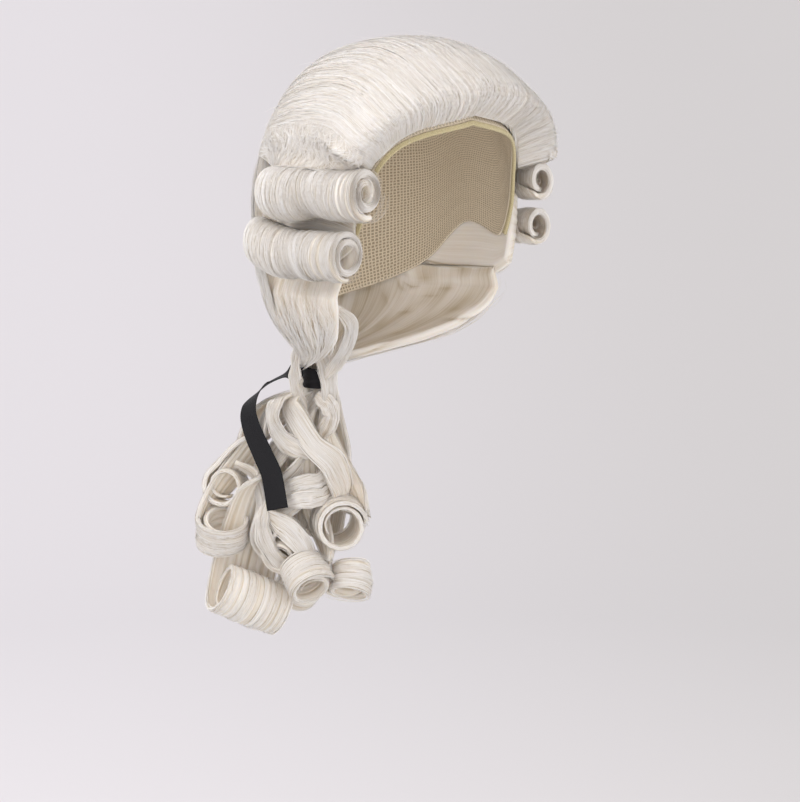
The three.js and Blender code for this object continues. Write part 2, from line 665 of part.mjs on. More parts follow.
function queueGeometry() {
  const lean = (share) => {
    const { x, y, z } = queueHeart(-tieDrop - ribbonWidth - queueLength * share);
    return { x, y, z };
  };
  const core = coreGeometry([
    { x: 0, y: tieBack, z: -tieDrop - joinGap, radius: neckRadius },
    { x: 0, y: tieBack, z: -tieDrop - ribbonWidth, radius: neckRadius },
    { ...lean(0.25), radius: 1.6 * neckRadius },
    { ...lean(0.5), radius: 1.8 * neckRadius },
    { ...lean(0.72), radius: 0.8 * neckRadius },
  ]);
  const waves = [...new Set(waveRows.map((row) => row.lock))];
  const locks = [...lockRows.map(lockGeometry), ...waves.map(waveGeometry)];
  const fused = locks.reduce((whole, lock) => whole.add(solidOf(lock)), solidOf(core));
  return geometryOfSolid(outerShell(outerShell(fused).setTolerance(shortestEdge)));
}

// Ribbon wound round the neck of the queue in one ring, with its knot at the back.
function wrapGeometry() {
  const inner = neckRadius + ribbonGap;
  const outer = inner + ribbonThickness;
  const top = -tieDrop - joinGap;
  const bottom = top - ribbonWidth + 1;
  const profile = [
    [inner, top],
    [inner, bottom],
    [outer, bottom],
    [outer + 0.5, (top + bottom) / 2],
    [outer, top],
    [inner, top],
  ].map(([radius, height]) => new THREE.Vector2(radius, height));
  const ring = new THREE.LatheGeometry(profile, 20).rotateX(Math.PI / 2);
  const knot = new THREE.CapsuleGeometry(knotWidth / 2, ribbonWidth - knotWidth - 2, 3, 8).rotateX(Math.PI / 2);
  knot.scale(1, knotDepth / knotWidth, 1).translate(0, outer + knotDepth / 4, (top + bottom) / 2);
  return geometryOfSolid(solidOf(welded(ring)).add(solidOf(welded(knot)))).translate(0, tieBack, 0);
}

// Flat ribbon along the rows of tailRows, with its own width across the line.
function tailGeometry() {
  const steps = 22;
  const centre = (t) =>
    new THREE.Vector3(
      queueSpread * sample(tailRows, "at", "across", t),
      tieBack + queueSpread * sample(tailRows, "at", "back", t),
      -tieDrop - queueLength * sample(tailRows, "at", "drop", t),
    );
  const face = (sign) =>
    range(steps, (t) => {
      const tangent = centre(Math.min(t + 0.02, 1)).sub(centre(Math.max(t - 0.02, 0))).normalize();
      const heading = sample(tailRows, "at", "face", t) * DEGREE;
      const normal = new THREE.Vector3(Math.sin(heading), -Math.cos(heading), 0);
      normal.addScaledVector(tangent, -normal.dot(tangent)).normalize();
      const flat = tangent.clone().cross(normal);
      return [-1, 0, 1].map((across) =>
        centre(t)
          .addScaledVector(flat, (ribbonWidth / 2) * across)
          .addScaledVector(normal, (sign * ribbonThickness) / 2),
      );
    });
  return thickSheet(face(1), face(-1));
}

const hair = new THREE.MeshStandardMaterial({ color: 0xe6dfd4, roughness: 0.5, metalness: 0 });
const net = new THREE.MeshStandardMaterial({ color: 0xcbb894, roughness: 0.85, metalness: 0 });
const binding = new THREE.MeshStandardMaterial({ color: 0xd8c9a0, roughness: 0.8, metalness: 0 });
const ribbon = new THREE.MeshStandardMaterial({ color: 0x1b191c, roughness: 0.6, metalness: 0 });

const wig = new THREE.Group();
function place(name, geometry, material) {
  const mesh = new THREE.Mesh(geometry, material);
  mesh.name = name;
  wig.add(mesh);
}

place("cap", capGeometry(), net);
place("front_band", bandGeometry(), binding);
place("crown_hair", crownGeometry(), hair);
place("side_hair_right", sideHairGeometry(-1), hair);
place("side_hair_left", sideHairGeometry(1), hair);
place("nape_hair", napeGeometry(), hair);
for (const row of rollRows) place(row.name, rollGeometry(row), hair);
place("queue", queueGeometry(), hair);
place("ribbon_wrap", wrapGeometry(), ribbon);
place("ribbon_tail", tailGeometry(), ribbon);

export default wig;
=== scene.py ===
"""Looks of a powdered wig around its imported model: combed hair, rolled side curls, a queue of curls
and a black ribbon. Lengths are in metres and angles in degrees unless a name says otherwise."""

import math

import bpy
import numpy as np
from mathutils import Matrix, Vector


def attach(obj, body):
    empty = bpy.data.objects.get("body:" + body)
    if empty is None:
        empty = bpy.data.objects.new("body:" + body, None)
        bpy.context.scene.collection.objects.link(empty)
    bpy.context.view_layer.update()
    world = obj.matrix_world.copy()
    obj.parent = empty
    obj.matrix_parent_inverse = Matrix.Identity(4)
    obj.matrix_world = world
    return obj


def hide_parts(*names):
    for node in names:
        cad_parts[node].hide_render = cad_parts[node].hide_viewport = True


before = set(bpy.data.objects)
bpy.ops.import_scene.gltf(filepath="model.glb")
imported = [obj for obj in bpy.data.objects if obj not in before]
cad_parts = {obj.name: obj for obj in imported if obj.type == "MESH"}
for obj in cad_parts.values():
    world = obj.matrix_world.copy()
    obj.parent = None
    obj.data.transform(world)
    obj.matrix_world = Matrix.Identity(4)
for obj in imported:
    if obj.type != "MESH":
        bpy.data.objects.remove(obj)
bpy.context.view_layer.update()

MM = 0.001

# Sizes shared with the model.
HEAD_HALF_WIDTH = 74 * MM
HEAD_FRONT = 88 * MM
HEAD_BACK = 94 * MM
HEAD_RISE = 96 * MM
HEAD_FALL = 100 * MM
HEAD_SQUARENESS = 2.4
CAP_WALL = 1.6 * MM
SEAT_GAP = 0.9 * MM
BAND_WIDTH = 3.4 * MM
BAND_WALL = 2.2 * MM
FAN_BACK = 5 * MM
FAN_DROP = 105 * MM
CROWN_REACH = 139 * MM
CROWN_HALF_WIDTH = 105 * MM
ARCH_SQUARENESS = 2.3
HAIRLINE_DEPTH = 3 * MM
RISE_LIFT = (30 * MM, 28 * MM)
RISE_SWEEP = (34 * MM, 24 * MM)
JOIN_GAP = 0.5 * MM
TIE_DROP = 216 * MM
TIE_BACK = 86 * MM
RIBBON_WIDTH = 15.5 * MM
NECK_RADIUS = 9.6 * MM
QUEUE_LENGTH = 178 * MM
QUEUE_SPREAD = 60 * MM
CURL_RADIUS = 18 * MM
LOCK_WIDTH = 26 * MM
LOCK_THICKNESS = 4.6 * MM
SIDE_HAIR_WALL = {-1: 3 * MM, 1: 7 * MM}
ROLL_TURN_GAP = 0.7 * MM
ROLL_FLATNESS = 0.88
ROLL_SEAT_GAP = 0.9 * MM

HEAD_CENTRE = np.array([0.0, 0.0, -HEAD_RISE])

# Rows of a table: the first value is the place along it, the rest are its columns.
RIM = np.array([  # place, azimuth, elevation
    (0.0, 0, 39), (0.17, 40, 30), (0.28, 55, 16), (0.36, 60, -1), (0.45, 69, -16), (0.58, 94, -10),
    (0.76, 125, -30), (1.0, 180, -43),
])
CROWN_ROOT_END = 0.275
BAND_END = 0.42
CROWN = np.array([  # turn, reach, spread, edge, depth
    (-64, 0.885, 1.09, 0.57, 0.5), (-45, 0.962, 1.06, 0.51, 0.5), (-33, 0.962, 1.015, 0.475, 0.5),
    (-19, 0.948, 0.965, 0.43, 0.5), (0, 0.905, 0.935, 0.403, 0.4), (16, 0.885, 0.915, 0.41, 0.3),
    (42, 0.805, 0.885, 0.505, 0.2), (64, 0.75, 0.855, 0.446, 0.1), (92, 0.74, 0.83, 0.43, 0.072),
])
JOIN_TURN_MIDDLE = -33
JOIN_TURN_SIDE = -45
CROWN_END_TURN = 92
RISE_SHARE = 0.16
NAPE = np.array([  # place, half width, front, back
    (0.0, 1.0, 0.0, 1.0), (0.2, 1.0, -0.3, 1.05), (0.38, 0.94, -0.42, 1.07), (0.53, 0.87, -0.36, 1.05),
    (0.67, 0.74, -0.2, 1.01), (0.8, 0.53, 0.1, 0.95), (0.91, 0.29, 0.55, 0.9), (1.0, 0.142, 1.0, 0.9),
])
NAPE_WING_TOP = 0.38
NAPE_WING_START = 42
NAPE_WING_END = 57
SIDE = np.array([  # place, azimuth, top, bottom
    (0.0, 62, 5, -27), (0.25, 74, 15, -33), (0.5, 90, 19, -34), (0.75, 108, 17, -33), (1.0, 124, 8, -29),
])
GIRTH = np.array([(0.0, 1.0), (0.1, 0.97), (0.34, 0.93), (0.6, 0.99), (0.85, 0.95), (1.0, 0.8)])


# Arithmetic.
def sample(table, column, x):
    """A table's column at x, on a smooth curve through the rows that never overshoots them."""
    xs = table[:, 0]
    ys = table[:, column]
    x = np.clip(x, xs[0], xs[-1])
    slopes = np.diff(ys) / np.diff(xs)
    before, after = slopes[:-1], slopes[1:]
    total = before + after
    inner = np.where(before * after > 0, 2 * before * after / np.where(total == 0, 1, total), 0)
    tangents = np.concatenate([slopes[:1], inner, slopes[-1:]])
    k = np.clip(np.searchsorted(xs, x, side="left") - 1, 0, len(xs) - 2)
    span = xs[k + 1] - xs[k]
    t = (x - xs[k]) / span
    return ((2 * t**3 - 3 * t**2 + 1) * ys[k] + (t**3 - 2 * t**2 + t) * span * tangents[k]
            + (3 * t**2 - 2 * t**3) * ys[k + 1] + (t**3 - t**2) * span * tangents[k + 1])


def mix(a, b, t):
    return a + (b - a) * t


def ease(t):
    t = np.clip(t, 0, 1)
    return t * t * (3 - 2 * t)


def unit(v):
    return v / np.maximum(np.linalg.norm(v, axis=-1, keepdims=True), 1e-12)


def stack(x, y, z):
    return np.stack(np.broadcast_arrays(x, y, z), axis=-1)


LATTICE = (256, 64)


def noise(x, y, seed):
    """Smooth noise from -1 to 1 with cells one unit wide."""
    lattice = np.random.default_rng(seed).uniform(-1, 1, LATTICE)
    i, j = np.floor(x).astype(int), np.floor(y).astype(int)
    s, t = ease(x - i), ease(y - j)

    def value(a, b):
        return lattice[(i + a) % LATTICE[0], (j + b) % LATTICE[1]]

    return mix(mix(value(0, 0), value(1, 0), s), mix(value(0, 1), value(1, 1), s), t)


def bundles(across, along, count, seed):
    """Rounded strand bundles side by side, 0 in the grooves and up to 1 on top."""
    place = across * count + 0.9 * noise(across * count * 0.3, along * 3.1, seed)
    cell = np.floor(place)
    dome = np.sqrt(np.clip(1 - (2 * (place - cell) - 1) ** 2, 0, 1))
    return dome * (0.68 + 0.32 * noise(cell * 3.7, along * 2.3, seed + 1))


def combed(across, along, layers, seed):
    """Sum of bundle layers, each (count across, depth) and, if it fades along, (start, end) too: the
    height below the top."""
    height = np.zeros(np.broadcast(across, along).shape)
    for k, (count, depth, *fades) in enumerate(layers):
        weight = ease((fades[1] - along) / (fades[1] - fades[0])) if fades else 1
        height += weight * depth * (bundles(across, along, count, seed + 5 * k) - 1)
    return height


# Form of the head and the hair.
def head_radius(direction):
    depth = np.where(direction[..., 1] < 0, HEAD_FRONT, HEAD_BACK)
    height = np.where(direction[..., 2] > 0, HEAD_RISE, HEAD_FALL)
    total = (np.abs(direction[..., 0] / HEAD_HALF_WIDTH) ** HEAD_SQUARENESS
             + np.abs(direction[..., 1] / depth) ** HEAD_SQUARENESS
             + np.abs(direction[..., 2] / height) ** HEAD_SQUARENESS)
    return total ** (-1 / HEAD_SQUARENESS)


def on_head(direction, grow):
    direction = unit(direction)
    return HEAD_CENTRE + direction * (head_radius(direction) + grow)[..., None]


def head_point(azimuth, elevation, grow):
    a, e = np.radians(azimuth), np.radians(elevation)
    return on_head(stack(np.sin(a) * np.cos(e), -np.cos(a) * np.cos(e), np.sin(e)), grow)


def head_side(y, z):
    depth = np.where(y < 0, HEAD_FRONT, HEAD_BACK)
    height = np.where(z > -HEAD_RISE, HEAD_RISE, HEAD_FALL)
    rest = 1 - np.abs(y / depth) ** HEAD_SQUARENESS - np.abs((z + HEAD_RISE) / height) ** HEAD_SQUARENESS
    return HEAD_HALF_WIDTH * np.maximum(rest, 0) ** (1 / HEAD_SQUARENESS)


def rim_point(at, grow):
    azimuth = np.sign(at) * sample(RIM, 1, np.abs(at))
    return head_point(azimuth, sample(RIM, 2, np.abs(at)), grow)


def arch_point(turn, across):
    reach = CROWN_REACH * sample(CROWN, 1, turn)
    width = CROWN_HALF_WIDTH * sample(CROWN, 2, turn)
    edge = CROWN_REACH * sample(CROWN, 3, turn)
    angle = across * np.arccos((edge / reach) ** (ARCH_SQUARENESS / 2))
    out = np.sign(angle) * width * np.abs(np.sin(angle)) ** (2 / ARCH_SQUARENESS)
    away = reach * np.cos(angle) ** (2 / ARCH_SQUARENESS)
    turn = np.radians(turn)
    return stack(out, FAN_BACK + away * np.sin(turn), -FAN_DROP + away * np.cos(turn))


def crown_surface(across, along):
    """Outside of the swept hair: across -1 to 1, along 0 at the hairline and 1 at the crown's end."""
    across, along = np.broadcast_arrays(across, along)
    join_turn = mix(JOIN_TURN_MIDDLE, JOIN_TURN_SIDE, np.abs(across) ** 1.5)
    over = np.clip((along - RISE_SHARE) / (1 - RISE_SHARE), 0, 1)
    arch = arch_point(mix(join_turn, CROWN_END_TURN, over), across)
    root = rim_point(across * CROWN_ROOT_END, CAP_WALL + SEAT_GAP + HAIRLINE_DEPTH)
    join = arch_point(join_turn, across)
    side = across[..., None] ** 2
    sweep = unit(arch_point(join_turn + 1, across) - join) * mix(*RISE_SWEEP, side)
    lifted = root + unit(root - HEAD_CENTRE) * mix(*RISE_LIFT, side)
    t = np.clip(along / RISE_SHARE, 0, 1)[..., None]
    rise = ((1 - t) ** 3 * root + 3 * (1 - t) ** 2 * t * lifted
            + 3 * (1 - t) * t**2 * (join - sweep) + t**3 * join)
    return np.where((along < RISE_SHARE)[..., None], rise, arch)


def nape_surface(across, along):
    """Outside of the nape hair: across -1 to 1 round from ear to ear, along 0 at the top, 1 at the tie."""
    across, along = np.broadcast_arrays(across, along)
    turn = 90 * across
    last_arch = arch_point(np.array(float(CROWN_END_TURN)), np.array(0.0))
    wing = ease((np.abs(turn) - NAPE_WING_START) / (NAPE_WING_END - NAPE_WING_START))
    at = mix(NAPE_WING_TOP * wing, 1, along)
    half_width = CROWN_HALF_WIDTH * CROWN[-1, 2] * sample(NAPE, 1, at)
    front = mix(FAN_BACK, TIE_BACK, sample(NAPE, 2, at))
    back = last_arch[1] * sample(NAPE, 3, at)
    angle = np.radians(turn)
    out = np.sign(turn) * np.abs(np.sin(angle)) ** (2 / ARCH_SQUARENESS)
    away = np.cos(angle) ** (2 / ARCH_SQUARENESS)
    height = -mix(JOIN_GAP - last_arch[2], TIE_DROP, at)
    return stack(half_width * out, front + (back - front) * away, height)


def raised(surface, towards):
    """place(u, v, h) on a surface, h metres off it on the side away from towards at its middle."""
    step = 0.004

    def square(u, v):
        du = surface(np.clip(u + step, -1, 1), v) - surface(np.clip(u - step, -1, 1), v)
        dv = surface(u, np.clip(v + step, 0, 1)) - surface(u, np.clip(v - step, 0, 1))
        return unit(np.cross(du, dv))

    middle = (np.array(0.0), np.array(0.5))
    way = np.sign(np.dot(square(*middle), surface(*middle) - towards))

    def place(u, v, h):
        return surface(u, v) + way * square(u, v) * np.asarray(h)[..., None]
    return place


# Mesh building.
def make_mesh(name, points, faces, uv, shade, material, slot="hair", replaces=()):
    mesh = bpy.data.meshes.new(name)
    faces = np.asarray(faces, dtype=np.int32)
    corners = faces[faces >= 0]
    sides = (faces >= 0).sum(axis=1)
    mesh.vertices.add(len(points))
    mesh.vertices.foreach_set("co", np.asarray(points, dtype=np.float32).ravel())
    mesh.loops.add(len(corners))
    mesh.loops.foreach_set("vertex_index", corners)
    mesh.polygons.add(len(faces))
    mesh.polygons.foreach_set("loop_start", np.concatenate([[0], np.cumsum(sides)[:-1]]).astype(np.int32))
    mesh.update(calc_edges=True)
    layer = mesh.uv_layers.new(name="strand")
    layer.data.foreach_set("uv", np.asarray(uv, dtype=np.float32)[corners].ravel())
    # Per-point value for the hair material: random strand brightness, and painted shade in the bands' grooves
    # and on their inner faces.
    tone_and_painted_shade = mesh.attributes.new("tone_and_painted_shade", "FLOAT", "POINT")
    tone_and_painted_shade.data.foreach_set("value", np.asarray(shade, dtype=np.float32))
    mesh.polygons.foreach_set("use_smooth", np.full(len(faces), True))
    mesh.materials.append(material)
    piece = bpy.data.objects.new(name, mesh)
    bpy.context.scene.collection.objects.link(piece)
    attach(piece, "root")
    if replaces:
        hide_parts(*replaces)
    return piece


def tube_faces(rings, around):
    """Quads of an open tube of rings stations with around points each."""
    j, i = np.meshgrid(np.arange(rings - 1), np.arange(around), indexing="ij")
    n = (i + 1) % around
    quads = np.stack([j * around + i, j * around + n, (j + 1) * around + n, (j + 1) * around + i], axis=-1)
    return quads.reshape(-1, 4)


def end_cap(outside, inside, flip):
    """Triangles between two rows of points of different counts; the fourth corner of each is -1."""
    faces, i, j = [], 0, 0
    while i < len(outside) - 1 or j < len(inside) - 1:
        ahead = (i + 1) * (len(inside) - 1) <= (j + 1) * (len(outside) - 1)
        if i < len(outside) - 1 and (ahead or j == len(inside) - 1):
            face = [outside[i], outside[i + 1], inside[j]]
            i += 1
        else:
            face = [outside[i], inside[j + 1], inside[j]]
            j += 1
        faces.append((face[::-1] if flip else face) + [-1])
    return np.array(faces)


def facing_out(points, faces):
    """The faces of a closed mesh, turned round where they would face in."""
    a, b, c, d = (points[faces[:, k]] for k in range(4))
    is_quad = faces[:, 3] >= 0
    volume = np.sum(a * np.cross(b, c), axis=1) + np.where(is_quad, np.sum(a * np.cross(c, d), axis=1), 0)
    if volume.sum() > 0:
        return faces
    turned = faces[:, ::-1].copy()
    turned[~is_quad] = np.column_stack([faces[~is_quad][:, 2::-1], faces[~is_quad][:, 3]])
    return turned


def slab(place, width, length, half_thickness, outer=160, inner=24, along=80, edge=12, layers=(), seed=0,
         taper=(1.0, 1.0), inner_layers=()):
    """Points, faces, uv and painted shade (darker in the grooves and on the inner face) of a thick band of
    hair, combed all round its rounded section.
    """
    fillet = min(2 * half_thickness / width, 0.5)
    flat = 1 - fillet
    turn = np.linspace(0.5 * math.pi, 1.5 * math.pi, edge, endpoint=False)
    # Round the section: outer face, one edge, inner face, other edge.
    u = np.concatenate([np.linspace(flat, -flat, outer, endpoint=False), fillet * np.cos(turn) - flat,
                        np.linspace(-flat, flat, inner, endpoint=False), flat - fillet * np.cos(turn)])
    h = np.concatenate([np.ones(outer), np.sin(turn), -np.ones(inner), -np.sin(turn)])
    push_u = np.concatenate([np.zeros(outer), np.cos(turn), np.zeros(inner), -np.cos(turn)])
    steps = np.hypot(np.diff(u, prepend=u[:1]) * width / 2, np.diff(h, prepend=h[:1]) * half_thickness)
    arc = np.cumsum(steps)
    v = np.linspace(0, 1, along)
    vv, uu = np.meshgrid(v, u, indexing="ij")
    across = np.broadcast_to(arc / width, vv.shape)
    squeeze = mix(taper[0], 1, ease(vv / 0.12)) * mix(taper[1], 1, ease((1 - vv) / 0.12))
    is_inner = (np.arange(len(u)) >= outer + edge) & (np.arange(len(u)) < outer + edge + inner)
    relief = np.where(is_inner, combed(across, vv, inner_layers, seed + 40),
                      combed(across, vv, layers, seed))
    points = place(uu * squeeze**0.5 + push_u * relief * 2 / width, vv,
                   half_thickness * h * squeeze + h * relief)
    depth = np.where(is_inner, sum(layer[1] for layer in inner_layers), sum(layer[1] for layer in layers))
    # Painted shade: darkest in the grooves between bundles, and the inner face darker than the outer one.
    tone_and_painted_shade = np.clip(1 + relief / np.maximum(depth, 1e-6), 0, 1) * np.where(is_inner, 0.8, 0.92)
    uv = np.stack([np.broadcast_to(arc, vv.shape), vv * length], axis=-1)
    start, end = outer + edge // 2, len(u) - edge // 2
    outside = [*range(end, len(u)), *range(start + 1)]
    inside = list(range(start, end + 1))[::-1]
    base = (along - 1) * len(u)
    caps = [end_cap(outside, inside, True),
            end_cap([base + k for k in outside], [base + k for k in inside], False)]
    points = points.reshape(-1, 3)
    faces = facing_out(points, np.concatenate([tube_faces(along, len(u)), *caps]))
    return points, faces, uv.reshape(-1, 2), tone_and_painted_shade.ravel()


def flank(place, end, width, half_thickness):
    """place for one rounded edge of a band: u runs through the band's thickness, h stands off the edge."""
    fillet = min(2 * half_thickness / width, 0.5)

    def edge(u, v, h):
        u, v, h = np.broadcast_arrays(u, v, h)
        side = end * (1 - fillet * (1 - np.sqrt(np.maximum(1 - u**2, 0))))
        rim = place(side, v, half_thickness * u)
        return rim + unit(rim - place(0.96 * side, v, half_thickness * u)) * h[..., None]
    return edge


def wisps(place, width, length, count, radius, height, seed, span=(0.0, 1.0), segments=22, wander=0.02,
          clump=14, spread=(-0.98, 0.98), loose=0.0, least=0.35, rooted=False):
    """Thin flat strands that follow a flow; loose lets their ends lift off it, rooted starts them all at
    the flow's start."""
    rng = np.random.default_rng(seed)
    start = rng.uniform(spread[0], spread[1], count)
    centre = np.round(start * clump) / clump
    start = mix(start, centre, rng.uniform(0, 0.6, count))
    run = rng.uniform(least, 1.0, count) * (span[1] - span[0])
    first = span[0] + (0 if rooted else 1) * rng.uniform(0, 1, count) * (span[1] - span[0] - run)
    t = np.linspace(0, 1, segments)
    vv = first[:, None] + run[:, None] * t[None, :]
    drift = rng.normal(0, wander, count)[:, None] * (t[None, :] - 0.5)
    wave = wander * 0.6 * noise(start[:, None] * 40, vv * 4 + start[:, None] * 9, seed + 3)
    uu = np.clip(start[:, None] + drift + wave, -1, 1)
    lift = rng.uniform(0, 1, count)[:, None] ** 2 * loose * (2 * np.abs(t[None, :] - 0.5)) ** 2.5
    hh = height + rng.uniform(-0.5, 1, count)[:, None] * radius + lift
    path = place(uu, vv, hh)
    tangent = unit(np.gradient(path, axis=1))
    side = unit(np.cross(tangent, place(uu, vv, hh + 0.2 * MM) - path))
    taper = np.clip(np.sin(math.pi * np.clip(t, 0.02, 0.98)), 0.12, 1) ** 0.5
    half = radius * rng.uniform(0.6, 1.3, count)[:, None] * taper[None, :]
    strip = path[:, :, None, :] + (half[:, :, None] * np.array([-1.0, 1.0]))[..., None] * side[:, :, None, :]
    j = 2 * np.arange(segments - 1)
    one = np.stack([j, j + 1, j + 3, j + 2], axis=-1)
    faces = (one[None] + (np.arange(count) * segments * 2)[:, None, None]).reshape(-1, 4)
    shade = rng.uniform(0.5, 1.0, count)[:, None, None] * np.ones((1, segments, 2))
    offset = rng.uniform(0, 1, count)[:, None, None]
    uv = np.stack([np.broadcast_to(offset + start[:, None, None] * width / 2, shade.shape),
                   np.broadcast_to(vv[:, :, None] * length, shade.shape)], axis=-1)
    return strip.reshape(-1, 3), faces, uv.reshape(-1, 2), shade.ravel()


def joined(parts):
    """Several (points, faces, uv, strand brightness and painted shade) sets as one."""
    points, faces, uv, tone_and_painted_shade, base = [], [], [], [], 0
    for p, f, w, s in parts:
        points.append(p)
        faces.append(np.where(f < 0, -1, f + base))
        uv.append(w)
        tone_and_painted_shade.append(s)
        base += len(p)
    return np.concatenate(points), np.concatenate(faces), np.concatenate(uv), np.concatenate(tone_and_painted_shade)


# Materials.
def new_material(name):
    material = bpy.data.materials.new(name)
    material.use_nodes = True
    tree = material.node_tree
    return material, tree, tree.nodes["Principled BSDF"]


def add(tree, kind, inputs=None, **settings):
    node = tree.nodes.new(kind)
    for key, value in settings.items():
        setattr(node, key, value)
    for key, value in (inputs or {}).items():
        if isinstance(value, bpy.types.NodeSocket):
            tree.links.new(value, node.inputs[key])
        else:
            node.inputs[key].default_value = value
    return node


def ramp(tree, factor, stops):
    node = add(tree, "ShaderNodeValToRGB", {"Fac": factor})
    elements = node.color_ramp.elements
    while len(elements) < len(stops):
        elements.new(0.5)
    for element, (at, colour) in zip(elements, stops):
        element.position = at
        element.color = (*colour, 1)
    return node


def hair_material(name, painted_groove_shade, middle, light):
    """Pale wig fibre: strands run along the uv's second axis, and the point attribute is 0 in the grooves,
    where the colour goes to painted groove shade.
    """
    material, tree, shader = new_material(name)
    uv = add(tree, "ShaderNodeUVMap", uv_map="strand")
    strands = []
    for across, along, detail in ((2600, 9, 2), (700, 7, 2), (160, 10, 1)):
        mapping = add(tree, "ShaderNodeMapping", {"Vector": uv.outputs["UV"], "Scale": (across, along, 1)})
        strands.append(add(tree, "ShaderNodeTexNoise", {"Vector": mapping.outputs["Vector"], "Scale": 1.0,
                                                        "Detail": float(detail), "Roughness": 0.6}))
    fine, medium, broad = (node.outputs["Fac"] for node in strands)
    tone_and_painted_shade = add(tree, "ShaderNodeAttribute", attribute_name="tone_and_painted_shade").outputs["Fac"]
    both = add(tree, "ShaderNodeMath", {0: fine, 1: medium}, operation="ADD").outputs[0]
    streak = add(tree, "ShaderNodeMapRange", {"Value": both, "From Min": 0.72, "From Max": 1.28,
                                              "To Min": -0.16, "To Max": 0.16}).outputs[0]
    level = add(tree, "ShaderNodeMath", {0: tone_and_painted_shade, 1: streak}, operation="ADD").outputs[0]
    shift = add(tree, "ShaderNodeMapRange", {"Value": broad, "From Min": 0.3, "From Max": 0.7,
                                             "To Min": -0.1, "To Max": 0.1}).outputs[0]
    level = add(tree, "ShaderNodeMath", {0: level, 1: shift}, operation="ADD").outputs[0]
    # Colour from painted shade in the grooves (the first colour) up to the fibre's own pale colours on the
    # bundles, with the strands' own streaks mixed in.
    colour = ramp(tree, level, ((0.05, painted_groove_shade), (0.55, middle), (1.0, light)))
    tree.links.new(colour.outputs["Color"], shader.inputs["Base Color"])
    gloss = add(tree, "ShaderNodeMapRange", {"Value": medium, "From Min": 0.3, "From Max": 0.7,
                                             "To Min": 0.36, "To Max": 0.56}).outputs[0]
    tree.links.new(gloss, shader.inputs["Roughness"])
    bump = add(tree, "ShaderNodeBump", {"Height": both, "Strength": 0.4, "Distance": 0.0005})
    tree.links.new(bump.outputs["Normal"], shader.inputs["Normal"])
    tangent = add(tree, "ShaderNodeTangent", direction_type="UV_MAP", uv_map="strand")
    tree.links.new(tangent.outputs["Tangent"], shader.inputs["Tangent"])
    shader.inputs["Anisotropic"].default_value = 0.6
    shader.inputs["Subsurface Weight"].default_value = 0.25
    shader.inputs["Subsurface Scale"].default_value = 0.004
    shader.inputs["Subsurface Radius"].default_value = (1.0, 0.8, 0.55)
    shader.inputs["Sheen Weight"].default_value = 0.25
    shader.inputs["Sheen Roughness"].default_value = 0.4
    shader.inputs["Specular IOR Level"].default_value = 0.45
    return material


def net_material():
    material, tree, shader = new_material("cap_net")
    uv = add(tree, "ShaderNodeUVMap", uv_map="strand")
    mapping = add(tree, "ShaderNodeMapping", {"Vector": uv.outputs["UV"], "Scale": (560, 560, 1)})
    cells = add(tree, "ShaderNodeTexVoronoi", {"Vector": mapping.outputs["Vector"], "Scale": 1.0,
                                               "Randomness": 0.25}, feature="DISTANCE_TO_EDGE")
    # Pale threads round darker cells: the cells are painted shade where the net's holes would show the dark
    # behind them.
    threads_and_hole_shade = ramp(tree, cells.outputs["Distance"], ((0.08, (0.8, 0.7, 0.55)), (0.26, (0.42, 0.34, 0.24))))
    tree.links.new(threads_and_hole_shade.outputs["Color"], shader.inputs["Base Color"])
    bump = add(tree, "ShaderNodeBump", {"Height": cells.outputs["Distance"], "Strength": 0.8,
                                        "Distance": 0.0006}, invert=True)
    tree.links.new(bump.outputs["Normal"], shader.inputs["Normal"])
    shader.inputs["Roughness"].default_value = 0.85
    return material


def woven_material(name, dark, light, scale, roughness, sheen):
    """Plain weave with fine ribs across the cloth's length."""
    material, tree, shader = new_material(name)
    uv = add(tree, "ShaderNodeUVMap", uv_map="strand")
    mapping = add(tree, "ShaderNodeMapping", {"Vector": uv.outputs["UV"], "Scale": (scale * 0.35, scale, 1)})
    ribs = add(tree, "ShaderNodeTexWave", {"Vector": mapping.outputs["Vector"], "Scale": 0.5,
                                           "Distortion": 0.6, "Detail": 2.0}, bands_direction="Y")
    fuzz = add(tree, "ShaderNodeTexNoise", {"Vector": mapping.outputs["Vector"], "Scale": 0.6,
                                            "Detail": 3.0})
    level = add(tree, "ShaderNodeMath", {0: ribs.outputs["Fac"], 1: fuzz.outputs["Fac"]},
                operation="MULTIPLY")
    colour = ramp(tree, level.outputs[0], ((0.05, dark), (0.6, light)))
    tree.links.new(colour.outputs["Color"], shader.inputs["Base Color"])
    bump = add(tree, "ShaderNodeBump", {"Height": ribs.outputs["Fac"], "Strength": 0.35, "Distance": 0.0003})
    tree.links.new(bump.outputs["Normal"], shader.inputs["Normal"])
    shader.inputs["Roughness"].default_value = roughness
    shader.inputs["Specular IOR Level"].default_value = 0.25
    shader.inputs["Sheen Weight"].default_value = sheen
    return material


# Painted groove shade, then the fibre's own middle and pale colours.
HAIR = hair_material("powdered_hair", (0.57, 0.47, 0.33), (0.83, 0.765, 0.685), (0.95, 0.905, 0.86))
NET = net_material()
BINDING = woven_material("edge_binding", (0.42, 0.34, 0.17), (0.8, 0.7, 0.45), 2400, 0.8, 0.2)
RIBBON = woven_material("black_ribbon", (0.003, 0.0026, 0.0035), (0.011, 0.0095, 0.013), 3000, 0.6, 0.0)


def hair(name, *parts, replaces=()):
    """One piece made of bands and strands of hair."""
    make_mesh(name, *joined(parts), HAIR, replaces=replaces)


# Crown, side and nape hair.
RIM_TURNS = RIM[:, 1:3][np.argsort(RIM[:, 1])]
CROWN_SPAN = 0.3
CROWN_LENGTH = 0.33
CROWN_SKIN = 3 * MM
crown_skin = raised(crown_surface, HEAD_CENTRE)


